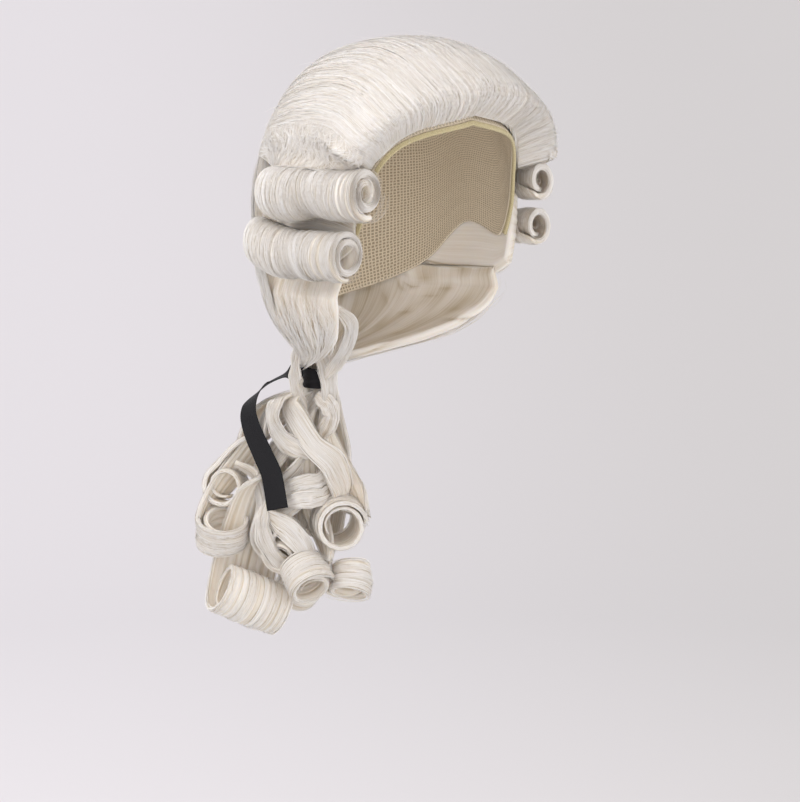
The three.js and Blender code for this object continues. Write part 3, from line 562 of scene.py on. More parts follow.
def crown_place(u, v, h):
    """The swept hair down to the cap: h is CROWN_SKIN on its outside and -CROWN_SKIN where it seats."""
    outside = crown_skin(u, v, 0.4 * MM + np.maximum(h, 0) - CROWN_SKIN)
    ray = outside - HEAD_CENTRE
    turn = np.degrees(np.arctan2(outside[..., 1] - FAN_BACK, outside[..., 2] + FAN_DROP))
    far = np.linalg.norm(ray, axis=-1)
    seat = np.maximum(head_radius(unit(ray)) + CAP_WALL + SEAT_GAP,
                      far - CROWN_REACH * sample(CROWN, 4, turn))
    share = np.clip(-h / CROWN_SKIN, 0, 1)
    return HEAD_CENTRE + unit(ray) * mix(far, np.minimum(seat, far), share)[..., None]


hair("crown_hair_body",
     slab(crown_place, CROWN_SPAN, CROWN_LENGTH, CROWN_SKIN, outer=360, inner=16, along=100,
          layers=((20, 0.7 * MM), (38, 1.1 * MM, 0.08, 0.42), (80, 0.6 * MM), (180, 0.35 * MM)), seed=11),
     replaces=("crown_hair",))
hair("crown_hair_strands",
     wisps(crown_skin, CROWN_SPAN, CROWN_LENGTH, 2000, 0.26 * MM, 0.15 * MM, 21, segments=18,
           wander=0.012, clump=44, loose=1.5 * MM))
hair("crown_hair_roots",
     wisps(crown_skin, CROWN_SPAN, CROWN_LENGTH, 1300, 0.26 * MM, 0.25 * MM, 22, segments=13,
           span=(0.0, 0.7), wander=0.014, clump=50, least=0.2, rooted=True))
flanks = []
for end in (-1, 1):
    wall = flank(crown_place, end, CROWN_SPAN, CROWN_SKIN)
    flanks += [slab(wall, 0.05, CROWN_LENGTH, 0.9 * MM, outer=90, inner=8, along=60, edge=6,
                    layers=((9, 0.8 * MM), (34, 0.5 * MM)), seed=27 + end),
               wisps(wall, 0.05, CROWN_LENGTH, 150, 0.28 * MM, 0.9 * MM, 28 + end, wander=0.08, loose=3 * MM)]
hair("crown_hair_flanks", *flanks)
hair("crown_hair_flyaways",
     wisps(crown_skin, CROWN_SPAN, CROWN_LENGTH, 170, 0.16 * MM, 0.9 * MM, 24, segments=26,
           wander=0.06, clump=60, loose=6 * MM, least=0.3))


def side_place(side):
    def place(u, v, h):
        """u from the bottom edge to the top, v from the front to the back."""
        elevation = mix(sample(SIDE, 3, v), sample(SIDE, 2, v), np.asarray(u) * 0.5 + 0.5)
        grow = CAP_WALL + SEAT_GAP + SIDE_HAIR_WALL[side] / 2 + h
        return head_point(side * sample(SIDE, 1, v), elevation, grow)
    return place


SIDE_SPAN = 0.07
SIDE_LENGTH = 0.09
UNDER_SPAN = 0.075
UNDER_LENGTH = 0.14
UNDER_START = 62
UNDER_END = 150
UNDER_TUCK = 6
UNDER_HEIGHT = 46
UNDER_LIFT = 1.5 * MM
REAR_SPAN = 0.06
REAR_LENGTH = 0.1
REAR_START = 112
REAR_END = 160
REAR_TOP = 26
REAR_LIFT = 2.6 * MM


def under_place(side):
    def place(u, v, h):
        """Hair on the cap between the side hair and the swept hair, u upwards and v from front to back."""
        azimuth = mix(UNDER_START, UNDER_END, v)
        low = sample(SIDE, 2, v) - UNDER_TUCK
        elevation = mix(low, low + UNDER_HEIGHT, np.asarray(u) * 0.5 + 0.5)
        return head_point(side * azimuth, elevation, CAP_WALL + SEAT_GAP + UNDER_LIFT + h)
    return place


def rear_place(side):
    def place(u, v, h):
        """Hair that falls over the cap behind the rolls, u from front to back and v downwards."""
        azimuth = mix(REAR_START, REAR_END, np.asarray(u) * 0.5 + 0.5)
        rim = np.interp(azimuth, RIM_TURNS[:, 0], RIM_TURNS[:, 1])
        return head_point(side * azimuth, mix(REAR_TOP, rim + 1, v), CAP_WALL + SEAT_GAP + REAR_LIFT / 2 + h)
    return place


for side, label in ((-1, "right"), (1, "left")):
    place = side_place(side)
    half_wall = SIDE_HAIR_WALL[side] / 2 - 0.1 * MM
    hair(f"side_hair_{label}_layer",
         slab(place, SIDE_SPAN, SIDE_LENGTH, half_wall, outer=60, inner=16, along=40,
              layers=((9, 0.9 * MM), (26, 0.5 * MM)), seed=31 + side),
         wisps(place, SIDE_SPAN, SIDE_LENGTH, 120, 0.4 * MM, half_wall - 0.3 * MM, 33 + side, segments=12),
         replaces=(f"side_hair_{label}",))
    under = under_place(side)
    rear = rear_place(side)
    hair(f"side_hair_{label}_under",
         slab(under, UNDER_SPAN, UNDER_LENGTH, 1.3 * MM, outer=80, inner=12, along=44,
              layers=((12, 0.9 * MM), (40, 0.5 * MM)), seed=51 + side),
         wisps(under, UNDER_SPAN, UNDER_LENGTH, 160, 0.36 * MM, 1.2 * MM, 53 + side, segments=16,
               wander=0.12, loose=2 * MM),
         slab(rear, REAR_SPAN, REAR_LENGTH, REAR_LIFT / 2, outer=60, inner=10, along=40,
              layers=((8, 0.8 * MM), (30, 0.5 * MM)), seed=71 + side),
         wisps(rear, REAR_SPAN, REAR_LENGTH, 200, 0.3 * MM, REAR_LIFT / 2, 73 + side, segments=14,
               wander=0.1, loose=1.5 * MM))

NAPE_SPAN = 0.3
NAPE_LENGTH = 0.12
NAPE_SKIN = 4.5 * MM
NAPE_TUCK = 0.12
NAPE_TUCK_IN = 7 * MM
NAPE_TUCK_UP = 8 * MM
NAPE_HEART = np.array([0.0, 0.03, -0.14])
nape_skin = raised(nape_surface, NAPE_HEART)


def nape_place(u, v, h):
    """The nape hair, clear of the cap; its top edge beside the ears tucks up and in under the lower rolls."""
    point = nape_skin(u, v, h - NAPE_SKIN)
    wing = ease((90 * np.abs(u) - NAPE_WING_START) / (NAPE_WING_END - NAPE_WING_START))
    tuck = wing * (1 - ease(np.asarray(v) / NAPE_TUCK))
    x, y, z = np.moveaxis(point, -1, 0)
    ray = stack(x - np.sign(x) * NAPE_TUCK_IN * tuck, y, z + NAPE_TUCK_UP * tuck) - HEAD_CENTRE
    far = np.maximum(np.linalg.norm(ray, axis=-1), head_radius(unit(ray)) + CAP_WALL + SEAT_GAP)
    return HEAD_CENTRE + unit(ray) * far[..., None]


hair("nape_hair_body",
     slab(nape_place, NAPE_SPAN, NAPE_LENGTH, NAPE_SKIN, outer=220, inner=36, along=60,
          layers=((12, 1.9 * MM), (40, 0.8 * MM), (110, 0.4 * MM)), inner_layers=((24, 1.5 * MM),), seed=41),
     replaces=("nape_hair",))
hair("nape_hair_strands",
     wisps(nape_place, NAPE_SPAN, NAPE_LENGTH, 1000, 0.28 * MM, NAPE_SKIN, 43, segments=16,
           wander=0.05, clump=20, loose=2.5 * MM))

# Hair that falls from the crown over the nape.
BRIDGE_SPAN = 0.17
BRIDGE_LENGTH = 0.12
BRIDGE_TOP = 0.8
BRIDGE_DROP = 0.42
LAST_EDGE = np.degrees(np.arccos((CROWN[-1, 3] / CROWN[-1, 1]) ** (ARCH_SQUARENESS / 2)))


def bridge_surface(across, along):
    """Where the swept hair ends on the nape: along 0 on the crown, 0.5 at the join, 1 on the nape."""
    across, along = np.broadcast_arrays(across, along)
    above = crown_surface(across, mix(BRIDGE_TOP, 1, np.minimum(2 * along, 1)))
    below = nape_surface(across * LAST_EDGE / 90, BRIDGE_DROP * np.maximum(2 * along - 1, 0))
    return np.where((along < 0.5)[..., None], above, below)


bridge_skin = raised(bridge_surface, HEAD_CENTRE)
hair("crown_hair_falling",
     wisps(bridge_skin, BRIDGE_SPAN, BRIDGE_LENGTH, 1500, 0.36 * MM, 0.7 * MM, 91, segments=13,
           wander=0.03, clump=30, loose=1.5 * MM, least=0.45),
     wisps(bridge_skin, BRIDGE_SPAN, BRIDGE_LENGTH, 500, 0.5 * MM, 0.4 * MM, 92, segments=9,
           wander=0.03, clump=30, least=0.7, span=(0.3, 0.8)))

# Side rolls.
ROLL_WAIST = 1.8 * MM
CROSSING_START = 0.3
CROSSING_SLANT = 0.2
CROSSING_BREADTH = 0.1
ROLLS = (  # name, side, drop, rise, front, rear, radius, wall, turns
    ("side_roll_upper_right", -1, 83.5, 0.0, -63.0, 26.3, 21.7, 6.2, 1.9),
    ("side_roll_lower_right", -1, 125.5, 10.5, -49.3, 47.0, 20.3, 4.3, 2.1),
    ("side_roll_upper_left", 1, 78.2, 0.0, -57.6, 31.0, 15.8, 4.8, 1.35),
    ("side_roll_lower_left", 1, 110.3, 8.4, -52.8, 50.8, 15.4, 4.3, 1.35),
)


def roll_place(side, drop, rise, front, rear, radius, wall, turns):
    stand = CAP_WALL + SEAT_GAP + SIDE_HAIR_WALL[side] + ROLL_SEAT_GAP
    seed = int(drop * 1e4)

    def place(u, v, h):
        share = 0.5 - 0.5 * np.asarray(u)
        y = mix(front, rear, share)
        height = rise * share**3 - drop
        girth = radius * sample(GIRTH, 1, share)
        scale = girth / radius
        x = head_side(y, height) + stand + ROLL_FLATNESS * girth
        waist = ROLL_WAIST * np.exp(-((share - 0.4) / 0.08) ** 2)
        angle = -math.pi + v * turns * 2 * math.pi
        middle = girth - (wall + ROLL_TURN_GAP) * scale * v * turns - wall * scale / 2
        r = middle + h - waist + 1.2 * MM * noise(share * 6, v * 3 * turns, seed) * ease(share / 0.08)
        wobble = 1.6 * MM * noise(share * 5 + 3, v * 2.4 * turns, seed + 1) * ease((1 - share) / 0.1)
        return stack(side * (x + ROLL_FLATNESS * r * np.cos(angle)), y + wobble, height + r * np.sin(angle))
    return place


def crossing_place(place, wall, turns):
    """A lock laid round the outside of a roll, slanting back along it."""
    def crossing(u, v, h):
        share = CROSSING_START + CROSSING_SLANT * np.asarray(v) + CROSSING_BREADTH * np.asarray(u)
        return place(1 - 2 * share, 0.04 + v * 0.9 / turns, wall / 2 + h)
    return crossing


for k, (name, side, *sizes, turns) in enumerate(ROLLS):
    drop, rise, front, rear, radius, wall = (value * MM for value in sizes)
    place = roll_place(side, drop, rise, front, rear, radius, wall, turns)
    length = rear - front
    around = 2 * math.pi * radius * turns * 0.85
    inner_turn = max(0.0, 1 - 1 / turns)
    finer = 1.0 if side < 0 else 0.55
    lock = crossing_place(place, wall, turns)
    breadth = 2 * CROSSING_BREADTH * length
    hair(name + "_curl",
         slab(place, length, around, wall / 2, outer=int(84 * finer), inner=30, along=int(30 * turns) + 18,
              edge=10, layers=((6, 0.7 * MM), (18, 0.4 * MM), (60, 0.35 * MM)),
              inner_layers=((8, 0.8 * MM), (30, 0.4 * MM)), seed=60 + 7 * k, taper=(0.15, 0.6)),
         wisps(place, length, around, int(480 * finer), 0.26 * MM, wall / 2 - 0.1 * MM, 61 + 7 * k,
               span=(0, min(1, 1.1 / turns)), wander=0.07, clump=16, loose=1.6 * MM, spread=(-0.96, 0.96)),
         wisps(flank(place, 1, length, wall / 2), wall, around, int(110 * finer), 0.24 * MM, 0.1 * MM,
               62 + 7 * k, span=(0.14, 0.95), segments=24, wander=0.3, clump=5, least=0.25, loose=1.0 * MM),
         wisps(place, length, around, 40, 0.18 * MM, -wall / 2 - 0.3 * MM, 64 + 7 * k,
               span=(inner_turn, 1), segments=15, wander=0.5, clump=8, loose=-6 * MM, spread=(0.2, 0.98)),
         slab(lock, breadth, around / turns, 0.5 * MM, outer=36, inner=6, along=36, edge=6,
              layers=((4, 0.5 * MM), (14, 0.35 * MM)), seed=63 + 7 * k, taper=(0.1, 0.1)),
         wisps(lock, breadth, around / turns, 90, 0.26 * MM, 0.4 * MM, 66 + 7 * k,
               segments=18, wander=0.1, clump=6, loose=1.0 * MM), replaces=(name,))

# Hair that falls from the crown's side edges onto the upper rolls.
EAVES_SPAN = 0.08
EAVES_LENGTH = 0.03
EAVES_START = 0.06
EAVES_END = 0.74
EAVES_LIFT = 0.6 * MM
EAVES_RISE = 0.9
EAVES_EDGE = 0.4
EAVES_SLANT = 9 * MM
EAVES_SAG = 2.5 * MM
EAVES_REST = 0.8


def eaves_surface(side, sizes, turns):
    """From the crown's outer side (along 0) over its lower edge (EAVES_EDGE) to the upper roll's top (1)."""
    front, rear = sizes[2:4]
    place = roll_place(side, *sizes, turns)

    def surface(across, along):
        across, along = np.broadcast_arrays(across, along)
        back = mix(EAVES_START, EAVES_END, across * 0.5 + 0.5)
        above = crown_surface(side * mix(EAVES_RISE, 1, np.minimum(along / EAVES_EDGE, 1)), back)
        fall = np.maximum(along / EAVES_EDGE - 1, 0) / (1 / EAVES_EDGE - 1)
        y = crown_surface(float(side), back)[..., 1] + EAVES_SLANT
        share = np.clip((y - front) / (rear - front), 0.03, 0.97)
        below = place(1 - 2 * share, EAVES_REST / turns, 0 * share + 3 * MM)
        point = mix(above, below, fall[..., None])
        point[..., 0] -= side * EAVES_SAG * np.sin(math.pi * fall)
        return point
    return surface


eaves = []
for k in (0, 2):
    _, side, *sizes, turns = ROLLS[k]
    skin = raised(eaves_surface(side, [value * MM for value in sizes], turns), HEAD_CENTRE)

    def lifted(u, v, h):
        return skin(u, v, h + EAVES_LIFT * ease(np.asarray(v) / 0.3))

    eaves += [slab(lifted, EAVES_SPAN, EAVES_LENGTH, 0.5 * MM, outer=60, inner=8, along=14, edge=6,
                   layers=((9, 0.7 * MM), (30, 0.4 * MM)), seed=95 + k, taper=(0.2, 0.2)),
              wisps(lifted, EAVES_SPAN, EAVES_LENGTH, 440, 0.3 * MM, 0.6 * MM, 96 + k, segments=10,
                    wander=0.2, clump=16, loose=1.2 * MM, least=0.5)]
hair("crown_hair_eaves", *eaves)

# Queue of curls.
LOCKS = (  # across, back, drop, heading, tilt, sweep, turns, phase, radius, width
    (0.02, -0.33, 0.63, -30, -4, 0.5, 1.6, 203, 1.1, 1.35),
    (-0.73, 0.88, 0.5, -55, 8, 0.5, 1.5, 60, 0.9, 0.9),
    (-0.91, 0.73, 0.68, -40, 66, 0.6, 1.3, 120, 1.05, 0.9),
    (-0.77, 0.38, 0.95, -108, 24, 0.6, 1.4, 90, 1.1, 1.8),
    (-0.43, -0.26, 0.85, -10, -38, 0.6, 1.5, 180, 0.97, 0.9),
    (0.09, -0.45, 0.87, -42, -60, 0.6, 1.4, 0, 0.95, 0.85),
    (-0.42, 0.12, 0.74, -60, -20, 0.7, 1.2, 300, 0.75, 1.2),
    (0.4, 0.5, 0.66, 150, -10, 0.5, 1.4, 0, 0.95, 1.0),
    (-0.05, 1.02, 0.76, 195, -10, 0.5, 1.4, 0, 0.95, 1.0),
    (0.13, 0.5, 0.94, 170, -40, 0.6, 1.4, 0, 0.95, 0.95),
)
LOCK_START_SHARE = 0.25
CURL_START = 0.45
LOCK_FULLNESS = 1.13
LOCK_STATIONS = 160


def lock_frames(across, back, drop, heading, tilt, sweep, turns, phase, radius, width):
    """Stations of a lock from the tie to the end of its curl: centres, flat and normal directions, widths."""
    tie = np.array([0.0, TIE_BACK, -TIE_DROP - RIBBON_WIDTH - NECK_RADIUS / 2])
    end = np.array([QUEUE_SPREAD * across, TIE_BACK + QUEUE_SPREAD * back, -TIE_DROP - QUEUE_LENGTH * drop])
    a, e = math.radians(heading), math.radians(tilt)
    axis = np.array([math.sin(a) * math.cos(e), -math.cos(a) * math.cos(e), math.sin(e)])
    outward = (end - tie) * np.array([1.0, 1.0, 0.0])
    start = tie + unit(outward) * LOCK_START_SHARE * NECK_RADIUS
    shoulder = start + outward * 0.75
    shoulder[2] = mix(start[2], end[2], 0.3)
    t = np.linspace(0, 1, LOCK_STATIONS)
    down = np.minimum(t / CURL_START, 1)
    curled = np.maximum((t - CURL_START) / (1 - CURL_START), 0)
    d = down[:, None]
    centre = (1 - d) ** 2 * start + 2 * (1 - d) * d * shoulder + d**2 * end
    tangent = unit(2 * (1 - d) * (shoulder - start) + 2 * d * (end - shoulder))
    direction = unit(mix(tangent, axis, ease(d)))
    side = np.array([1.0, 0.0, 0.0])
    outwards = np.empty_like(centre)
    angle = math.radians(phase) + 2 * math.pi * (sweep * down + turns * curled)
    for k in range(LOCK_STATIONS):
        side = unit(side - direction[k] * side.dot(direction[k]))
        other = np.cross(direction[k], side)
        outwards[k] = side * math.cos(angle[k]) + other * math.sin(angle[k])
    size = CURL_RADIUS * radius * ease(down) - (LOCK_THICKNESS + ROLL_TURN_GAP) * turns * curled
    points = centre + outwards * size[:, None]
    along = unit(np.gradient(points, axis=0))
    normal = unit(outwards - along * np.sum(outwards * along, axis=1, keepdims=True))
    flat = np.cross(along, normal)
    full = ease(t / CURL_START)
    half_width = mix(NECK_RADIUS, LOCK_WIDTH * width, full) * mix(1, 0.85, ease((t - 0.8) / 0.2)) / 2
    half_depth = LOCK_FULLNESS * LOCK_THICKNESS * mix(1.2, 1, full) / 2
    return t, points, flat, normal, half_width, half_depth


def loose_frames(stations, width, thickness):
    """Stations of a lock along a smooth line through a few points, its flat side facing out of the queue."""
    stations = np.array(stations) * (QUEUE_SPREAD, QUEUE_SPREAD, -QUEUE_LENGTH) + (0.0, TIE_BACK, -TIE_DROP)
    table = np.column_stack([np.linspace(0, 1, len(stations)), stations])
    t = np.linspace(0, 1, LOCK_STATIONS)
    points = np.stack([sample(table, c, t) for c in (1, 2, 3)], axis=-1)
    along = unit(np.gradient(points, axis=0))
    heart = np.array([0.0, TIE_BACK, 0.0]) + (points[:, 2:] + TIE_DROP) * np.array([[0.07, -0.11, 0.0]])
    outwards = unit((points - heart) * np.array([1.0, 1.0, 0.0]))
    normal = unit(outwards - along * np.sum(outwards * along, axis=1, keepdims=True))
    ends = mix(0.5, 1, ease(t / 0.25)) * mix(0.5, 1, ease((1 - t) / 0.15))
    return t, points, np.cross(along, normal), normal, width / 2 * ends, thickness / 2 * ends


def lock_place(frames, seed):
    t, points, flat, normal, half_width, half_depth = frames
    middle = LOCK_THICKNESS / 2

    def at(values, v):
        return np.stack([np.interp(v, t, values[:, c]) for c in range(3)], axis=-1)

    def place(u, v, h):
        u, v, h = np.broadcast_arrays(u, v, h)
        depth = np.interp(v, t, half_depth) / middle
        spread = u * (1 + 0.16 * noise(v * 6, 0 * v, seed)) + 0.1 * noise(v * 5 + 2, u * 0.7, seed + 1)
        swell = 1.1 * MM * noise(v * 8, u * 1.3 + 4, seed + 2)
        return (at(points, v) + at(flat, v) * (spread * np.interp(v, t, half_width))[..., None]
                + at(normal, v) * (h * depth * (1 - 0.35 * u**2) + swell)[..., None])
    return place


def lock_parts(frames, width, seed, first):
    whole = lock_place(frames, seed)

    def place(u, v, h):
        return whole(u, mix(first, 1, v), h)

    length = float(np.linalg.norm(np.diff(frames[1], axis=0), axis=1).sum()) * (1 - first)
    fine = max(3, round(width / (5 * MM)))
    half = LOCK_THICKNESS / 2
    outer = max(16, round(width / (0.85 * MM)))
    inner = max(12, round(width / (1.2 * MM)))
    parts = [slab(place, width, length, half, outer=outer, inner=inner, along=66, edge=6,
                  layers=((fine, 1.0 * MM), (4 * fine, 0.5 * MM)), seed=seed, taper=(0.8, 0.6),
                  inner_layers=((fine, 1.0 * MM), (4 * fine, 0.5 * MM))),
             wisps(place, width, length, 64, 0.26 * MM, half - 0.1 * MM, seed + 1, segments=24,
                   wander=0.16, clump=7, loose=2.6 * MM)]
    for end in (-1, 1):
        parts.append(wisps(flank(place, end, width, half), LOCK_THICKNESS, length, 16, 0.22 * MM, 0.1 * MM,
                           seed + 5 + end, segments=22, wander=0.3, clump=4, loose=2 * MM, least=0.25))
    return parts


# Locks through a few points each: width in millimetres, then points as across, back and drop shares.
WAVES = (
    (20, (-0.3, 0.04, 0.105), (-0.44, 0.0, 0.145), (-0.43, -0.1, 0.2), (-0.34, -0.27, 0.298),
     (-0.13, -0.42, 0.386), (0.02, -0.42, 0.485), (0.08, -0.34, 0.57)),
    (13, (-0.14, -0.12, 0.11), (-0.12, -0.29, 0.145), (-0.08, -0.33, 0.192), (-0.13, -0.2, 0.29)),
    (14.3, (-0.26, 0.08, 0.115), (-0.58, 0.08, 0.135), (-0.645, 0.105, 0.18), (-0.62, 0.05, 0.25),
     (-0.5, -0.05, 0.31), (-0.3, -0.18, 0.36)),
    (20.8, (-0.2, 0.2, 0.115), (-0.43, 0.34, 0.155), (-0.58, 0.39, 0.267), (-0.62, 0.34, 0.401),
     (-0.58, 0.24, 0.543)),
    (16, (-0.07, 0.31, 0.115), (-0.35, 0.67, 0.19), (-0.52, 0.83, 0.316), (-0.5, 0.7, 0.43)),
)
FILLERS = (
    (24, (0.02, 0.0, -0.01), (0.2, 0.12, 0.13), (0.37, 0.14, 0.277), (0.42, 0.09, 0.488),
     (0.32, 0.07, 0.695), (0.17, 0.09, 0.838)),
    (20, (0.0, 0.04, -0.01), (0.18, 0.26, 0.14), (0.34, 0.42, 0.3), (0.38, 0.5, 0.47), (0.34, 0.55, 0.62)),
    (26, (0.0, 0.0, -0.02), (-0.06, 0.03, 0.1), (-0.19, 0.13, 0.261), (-0.22, 0.11, 0.468),
     (-0.23, 0.17, 0.72)),
    (14, (-0.68, 0.16, 0.538), (-0.77, 0.16, 0.638), (-0.69, 0.08, 0.75), (-0.44, 0.0, 0.851)),
    (16, (-0.74, 0.13, 0.584), (-0.6, -0.13, 0.645), (-0.43, -0.24, 0.738), (-0.28, -0.19, 0.837)),
    (12, (-0.8, 0.63, 0.393), (-0.67, 0.42, 0.444), (-0.67, 0.29, 0.564), (-0.75, 0.31, 0.687),
     (-0.64, 0.22, 0.791)),
    (12, (-0.54, 0.04, 0.505), (-0.47, -0.2, 0.465), (-0.27, -0.3, 0.452), (-0.07, -0.29, 0.417)),
    (12, (-0.56, 0.02, 0.557), (-0.48, -0.24, 0.525), (-0.27, -0.34, 0.52), (-0.04, -0.32, 0.491)),
)
COVERS = (  # locks that pass over the ribbon beside its knot, and one that swings out behind the ear
    (15, (-0.14, -0.15, -0.124), (-0.1, -0.22, -0.05), (-0.06, -0.24, 0.02), (-0.03, -0.24, 0.1),
     (0.0, -0.2, 0.18), (0.06, -0.1, 0.27)),
    (12, (-0.22, 0.06, -0.12), (-0.3, 0.06, -0.05), (-0.34, 0.04, 0.03), (-0.34, 0.0, 0.11),
     (-0.27, -0.1, 0.19)),
    (11, (-0.84, -1.3, -0.285), (-0.62, -1.28, -0.23), (-0.376, -0.98, -0.132), (-0.214, -0.61, -0.047),
     (-0.127, -0.29, 0.036)),
)


def waved(width, *stations):
    return loose_frames(stations, width * MM, LOCK_THICKNESS), width * MM


def lock_mesh(name, locks, seed, first=(), replaces=()):
    """Locks in one piece; first gives where along it a lock of the list starts."""
    parts = []
    for k, (frames, width) in enumerate(locks):
        parts += lock_parts(frames, width, seed + 9 * k, dict(first).get(k, 0.0))
    hair(name, *parts, replaces=replaces)


curls = [(lock_frames(*row), LOCK_WIDTH * row[-1]) for row in LOCKS]
lock_mesh("queue_curls_front", curls[:6], 100, first=((5, 0.47),), replaces=("queue",))
lock_mesh("queue_curls_back", curls[6:], 180)
lock_mesh("queue_waved_locks", [waved(*row) for row in WAVES], 240)
lock_mesh("queue_inner_locks", [waved(*row) for row in FILLERS], 300)
lock_mesh("ribbon_cover_locks", [waved(*row) for row in COVERS], 380)

# Cap and binding.
CAP_ROWS = 9
CAP_TOP = 89.5


def cap_place(u, v, h):
    """u from -1 to 1 round the head, v from the top to the edge."""
    at = np.asarray(u)
    azimuth = np.sign(at) * sample(RIM, 1, np.abs(at))
    return head_point(azimuth, mix(CAP_TOP, sample(RIM, 2, np.abs(at)), v), CAP_WALL / 2 + h)


def cap_mesh():
    around, down = 150, 64
    v = np.linspace(0, 1, down)
    u = np.linspace(-1, 1, around, endpoint=False)
    vv, uu = np.meshgrid(v, u, indexing="ij")
    weft = 0.35 * MM * np.clip(np.cos(2 * math.pi * vv * CAP_ROWS), 0, 1) ** 6
    outside = cap_place(uu, vv, CAP_WALL / 2 - 0.4 * MM + weft)
    inside = cap_place(uu, vv, -CAP_WALL / 2 + 0.4 * MM - weft)
    points = np.concatenate([outside, inside[::-1]]).reshape(-1, 3)
    faces = tube_faces(2 * down, around)
    closing = np.stack([np.arange(around), np.roll(np.arange(around), -1)], axis=1)
    top_in = closing + (2 * down - 1) * around
    crown = np.stack([closing[:, 1], closing[:, 0], top_in[:, 0], top_in[:, 1]], axis=1)
    faces = np.concatenate([faces, crown])
    uv = np.stack([uu * 0.24, vv * 0.16], axis=-1)
    uv = np.concatenate([uv, uv[::-1]]).reshape(-1, 2)
    return points, facing_out(points, faces), uv, np.ones(len(points))


make_mesh("cap_net_shell", *cap_mesh(), NET, slot="net", replaces=("cap",))


def band_place(u, v, h):
    at = mix(-BAND_END, BAND_END, np.asarray(v))
    here = rim_point(at, 0.0)
    along = unit(rim_point(at + 0.01, 0.0) - rim_point(at - 0.01, 0.0))
    forward = unit(np.cross(along, unit(here - HEAD_CENTRE)))
    reach = 2 * JOIN_GAP + BAND_WIDTH * (np.asarray(u) * 0.5 + 0.5)
    return on_head(here + forward * reach[..., None] - HEAD_CENTRE, BAND_WALL / 2 + h)


make_mesh("front_band_tape", *slab(band_place, BAND_WIDTH, 0.3, BAND_WALL / 2, outer=12, inner=12, along=160),
          BINDING, slot="binding", replaces=("front_band",))

# Ribbon.
TAIL = np.array([  # place, across, back, drop, face
    (0.0, 0.0, 0.2315, 0.04, -132), (0.1, -0.08, 0.43, 0.042, -128), (0.25, -0.376, 0.565, 0.086, -105),
    (0.38, -0.685, 0.49, 0.153, -84), (0.46, -0.755, 0.42, 0.202, -74), (0.57, -0.781, 0.279, 0.274, -64),
    (0.69, -0.774, 0.116, 0.351, -56), (0.81, -0.756, -0.013, 0.425, -50), (1.0, -0.757, -0.124, 0.561, -44),
])
RIBBON_THICKNESS = 0.7 * MM


def tail_line(t):
    return stack(QUEUE_SPREAD * sample(TAIL, 1, t), TIE_BACK + QUEUE_SPREAD * sample(TAIL, 2, t),
                 -TIE_DROP - QUEUE_LENGTH * sample(TAIL, 3, t))


def tail_place(u, v, h):
    v = np.asarray(v)
    tangent = unit(tail_line(np.clip(v + 0.01, 0, 1)) - tail_line(np.clip(v - 0.01, 0, 1)))
    heading = np.radians(sample(TAIL, 4, v))
    normal = stack(np.sin(heading), -np.cos(heading), 0 * v)
    normal = unit(normal - tangent * np.sum(normal * tangent, axis=-1, keepdims=True))
    flat = np.cross(tangent, normal)
    cup = 0.5 * MM * (np.asarray(u) ** 2) + 0.35 * MM * noise(v * 7, 0 * v, 5)
    return tail_line(v) + flat * (np.asarray(u) * RIBBON_WIDTH / 2)[..., None] + normal * (h + cup)[..., None]


tail_length = float(np.linalg.norm(np.diff(tail_line(np.linspace(0, 1, 400)), axis=0), axis=1).sum())
tail = make_mesh("ribbon_tail_end", *slab(tail_place, RIBBON_WIDTH, tail_length, RIBBON_THICKNESS / 2,
                                          outer=24, inner=24, along=110),
                 RIBBON, slot="ribbon", replaces=("ribbon_tail",))

WRAP_RADIUS = NECK_RADIUS + 1.1 * MM
WRAP_LENGTH = 68 * MM
KNOT_DEPTH = 2.2 * MM


def wrap_place(u, v, h):
    angle = 2 * math.pi * np.asarray(v)
    folds = 0.35 * MM * np.sin(9 * np.asarray(u) + 2.2 * np.sin(angle))
    knot = (KNOT_DEPTH + 0.4 * MM) * np.exp(-((np.sin(angle / 2 - math.pi / 4)) ** 2) / 0.03)
    r = WRAP_RADIUS + folds + knot * (1 - np.asarray(u) ** 4) + h
    z = -TIE_DROP - JOIN_GAP - (RIBBON_WIDTH - 1 * MM) * (0.5 - np.asarray(u) * 0.5)
    return stack(r * np.cos(angle), TIE_BACK + r * np.sin(angle), z)


make_mesh("ribbon_wrap_band", *slab(wrap_place, RIBBON_WIDTH, WRAP_LENGTH, RIBBON_THICKNESS, outer=40,
                                    inner=12, along=90),
          RIBBON, slot="ribbon", replaces=("ribbon_wrap",))


# Camera, light and backdrop.
VIEW_AZIMUTH = -42
VIEW_ELEVATION = 6.5
VIEW_DISTANCE = 1.9
FRAME_WIDTH = 0.568
SENSOR = 36.0
TARGET = Vector((0.0015, -0.0013, -0.234))


def direction(azimuth, elevation):
    a, e = math.radians(azimuth), math.radians(elevation)
    return Vector((math.sin(a) * math.cos(e), -math.cos(a) * math.cos(e), math.sin(e)))


camera = bpy.data.objects.new("camera", bpy.data.cameras.new("camera"))
bpy.context.scene.collection.objects.link(camera)
camera.location = TARGET + direction(VIEW_AZIMUTH, VIEW_ELEVATION) * VIEW_DISTANCE
camera.rotation_euler = (TARGET - camera.location).to_track_quat("-Z", "Y").to_euler()
camera.data.sensor_width = SENSOR
camera.data.lens = SENSOR * VIEW_DISTANCE / FRAME_WIDTH
camera.data.clip_start = 0.05
camera.data.clip_end = 20
bpy.context.scene.camera = camera


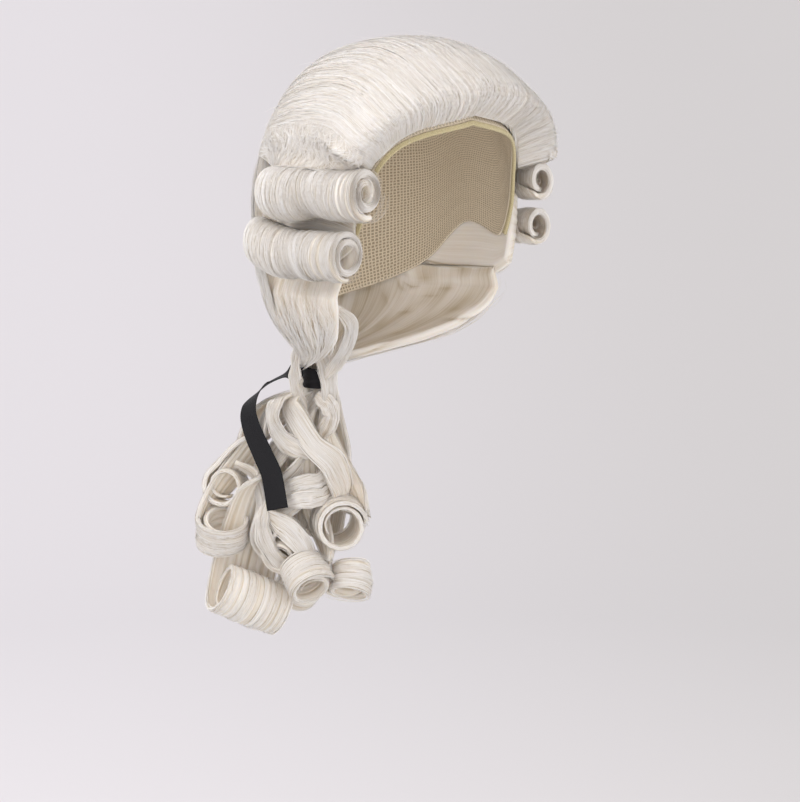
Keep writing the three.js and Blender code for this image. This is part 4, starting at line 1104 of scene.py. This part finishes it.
def area_light(name, azimuth, elevation, distance, size, power, colour):
    light = bpy.data.lights.new(name, "AREA")
    light.size = size
    light.energy = power
    light.color = colour
    lamp = bpy.data.objects.new(name, light)
    bpy.context.scene.collection.objects.link(lamp)
    lamp.location = TARGET + direction(azimuth, elevation) * distance
    lamp.rotation_euler = (TARGET - lamp.location).to_track_quat("-Z", "Y").to_euler()


area_light("key", -100, 42, 2.6, 2.0, 28, (1.0, 0.985, 0.965))
area_light("fill", -28, 6, 2.4, 2.0, 14, (1.0, 0.985, 0.97))
area_light("top", -20, 82, 1.8, 1.4, 4, (1.0, 1.0, 1.0))
area_light("side", 38, 12, 2.0, 1.8, 5, (1.0, 0.99, 0.98))

world = bpy.data.worlds.new("studio")
bpy.context.scene.world = world
world.use_nodes = True
world.node_tree.nodes["Background"].inputs["Color"].default_value = (0.86, 0.86, 0.88, 1)
world.node_tree.nodes["Background"].inputs["Strength"].default_value = 1.0


def backdrop():
    """A round pale floor that curves up into a wall; only the camera sees it, so it casts no light back."""
    material, tree, shader = new_material("pale_backdrop")
    place = add(tree, "ShaderNodeTexCoord")
    # The colour darkens from one side of the backdrop to the other: a painted fall-off of the light.
    across = add(tree, "ShaderNodeVectorMath", {0: place.outputs["Object"], 1: (0.743, -0.669, 0.15)},
                 operation="DOT_PRODUCT")
    level = add(tree, "ShaderNodeMapRange", {"Value": across.outputs["Value"], "From Min": -0.7,
                                             "From Max": 0.6}, interpolation_type="SMOOTHSTEP")
    painted_falloff = ramp(tree, level.outputs["Result"], ((0.0, (0.75, 0.715, 0.735)), (1.0, (0.63, 0.605, 0.6))))
    tree.links.new(painted_falloff.outputs["Color"], shader.inputs["Base Color"])
    shader.inputs["Roughness"].default_value = 0.95
    floor_z, reach, curve, top = -0.72, 1.7, 1.2, 3.5
    bend = np.radians(np.linspace(0, 90, 13))
    profile = [(0.02, floor_z), *zip(reach + curve * np.sin(bend), floor_z + curve * (1 - np.cos(bend))),
               (reach + curve, top)]
    sides = 64
    turn = 2 * math.pi * np.arange(sides) / sides
    points = [(r * math.cos(a), r * math.sin(a), z) for r, z in profile for a in turn]
    mesh = bpy.data.meshes.new("floor")
    mesh.from_pydata(points, [], [*tube_faces(len(profile), sides).tolist(), list(range(sides))])
    mesh.polygons.foreach_set("use_smooth", np.full(len(mesh.polygons), True))
    mesh.materials.append(material)
    floor = bpy.data.objects.new("floor", mesh)
    floor.visible_diffuse = floor.visible_shadow = floor.visible_glossy = False
    bpy.context.scene.collection.objects.link(floor)


backdrop()
bpy.context.scene.view_settings.view_transform = "Standard"
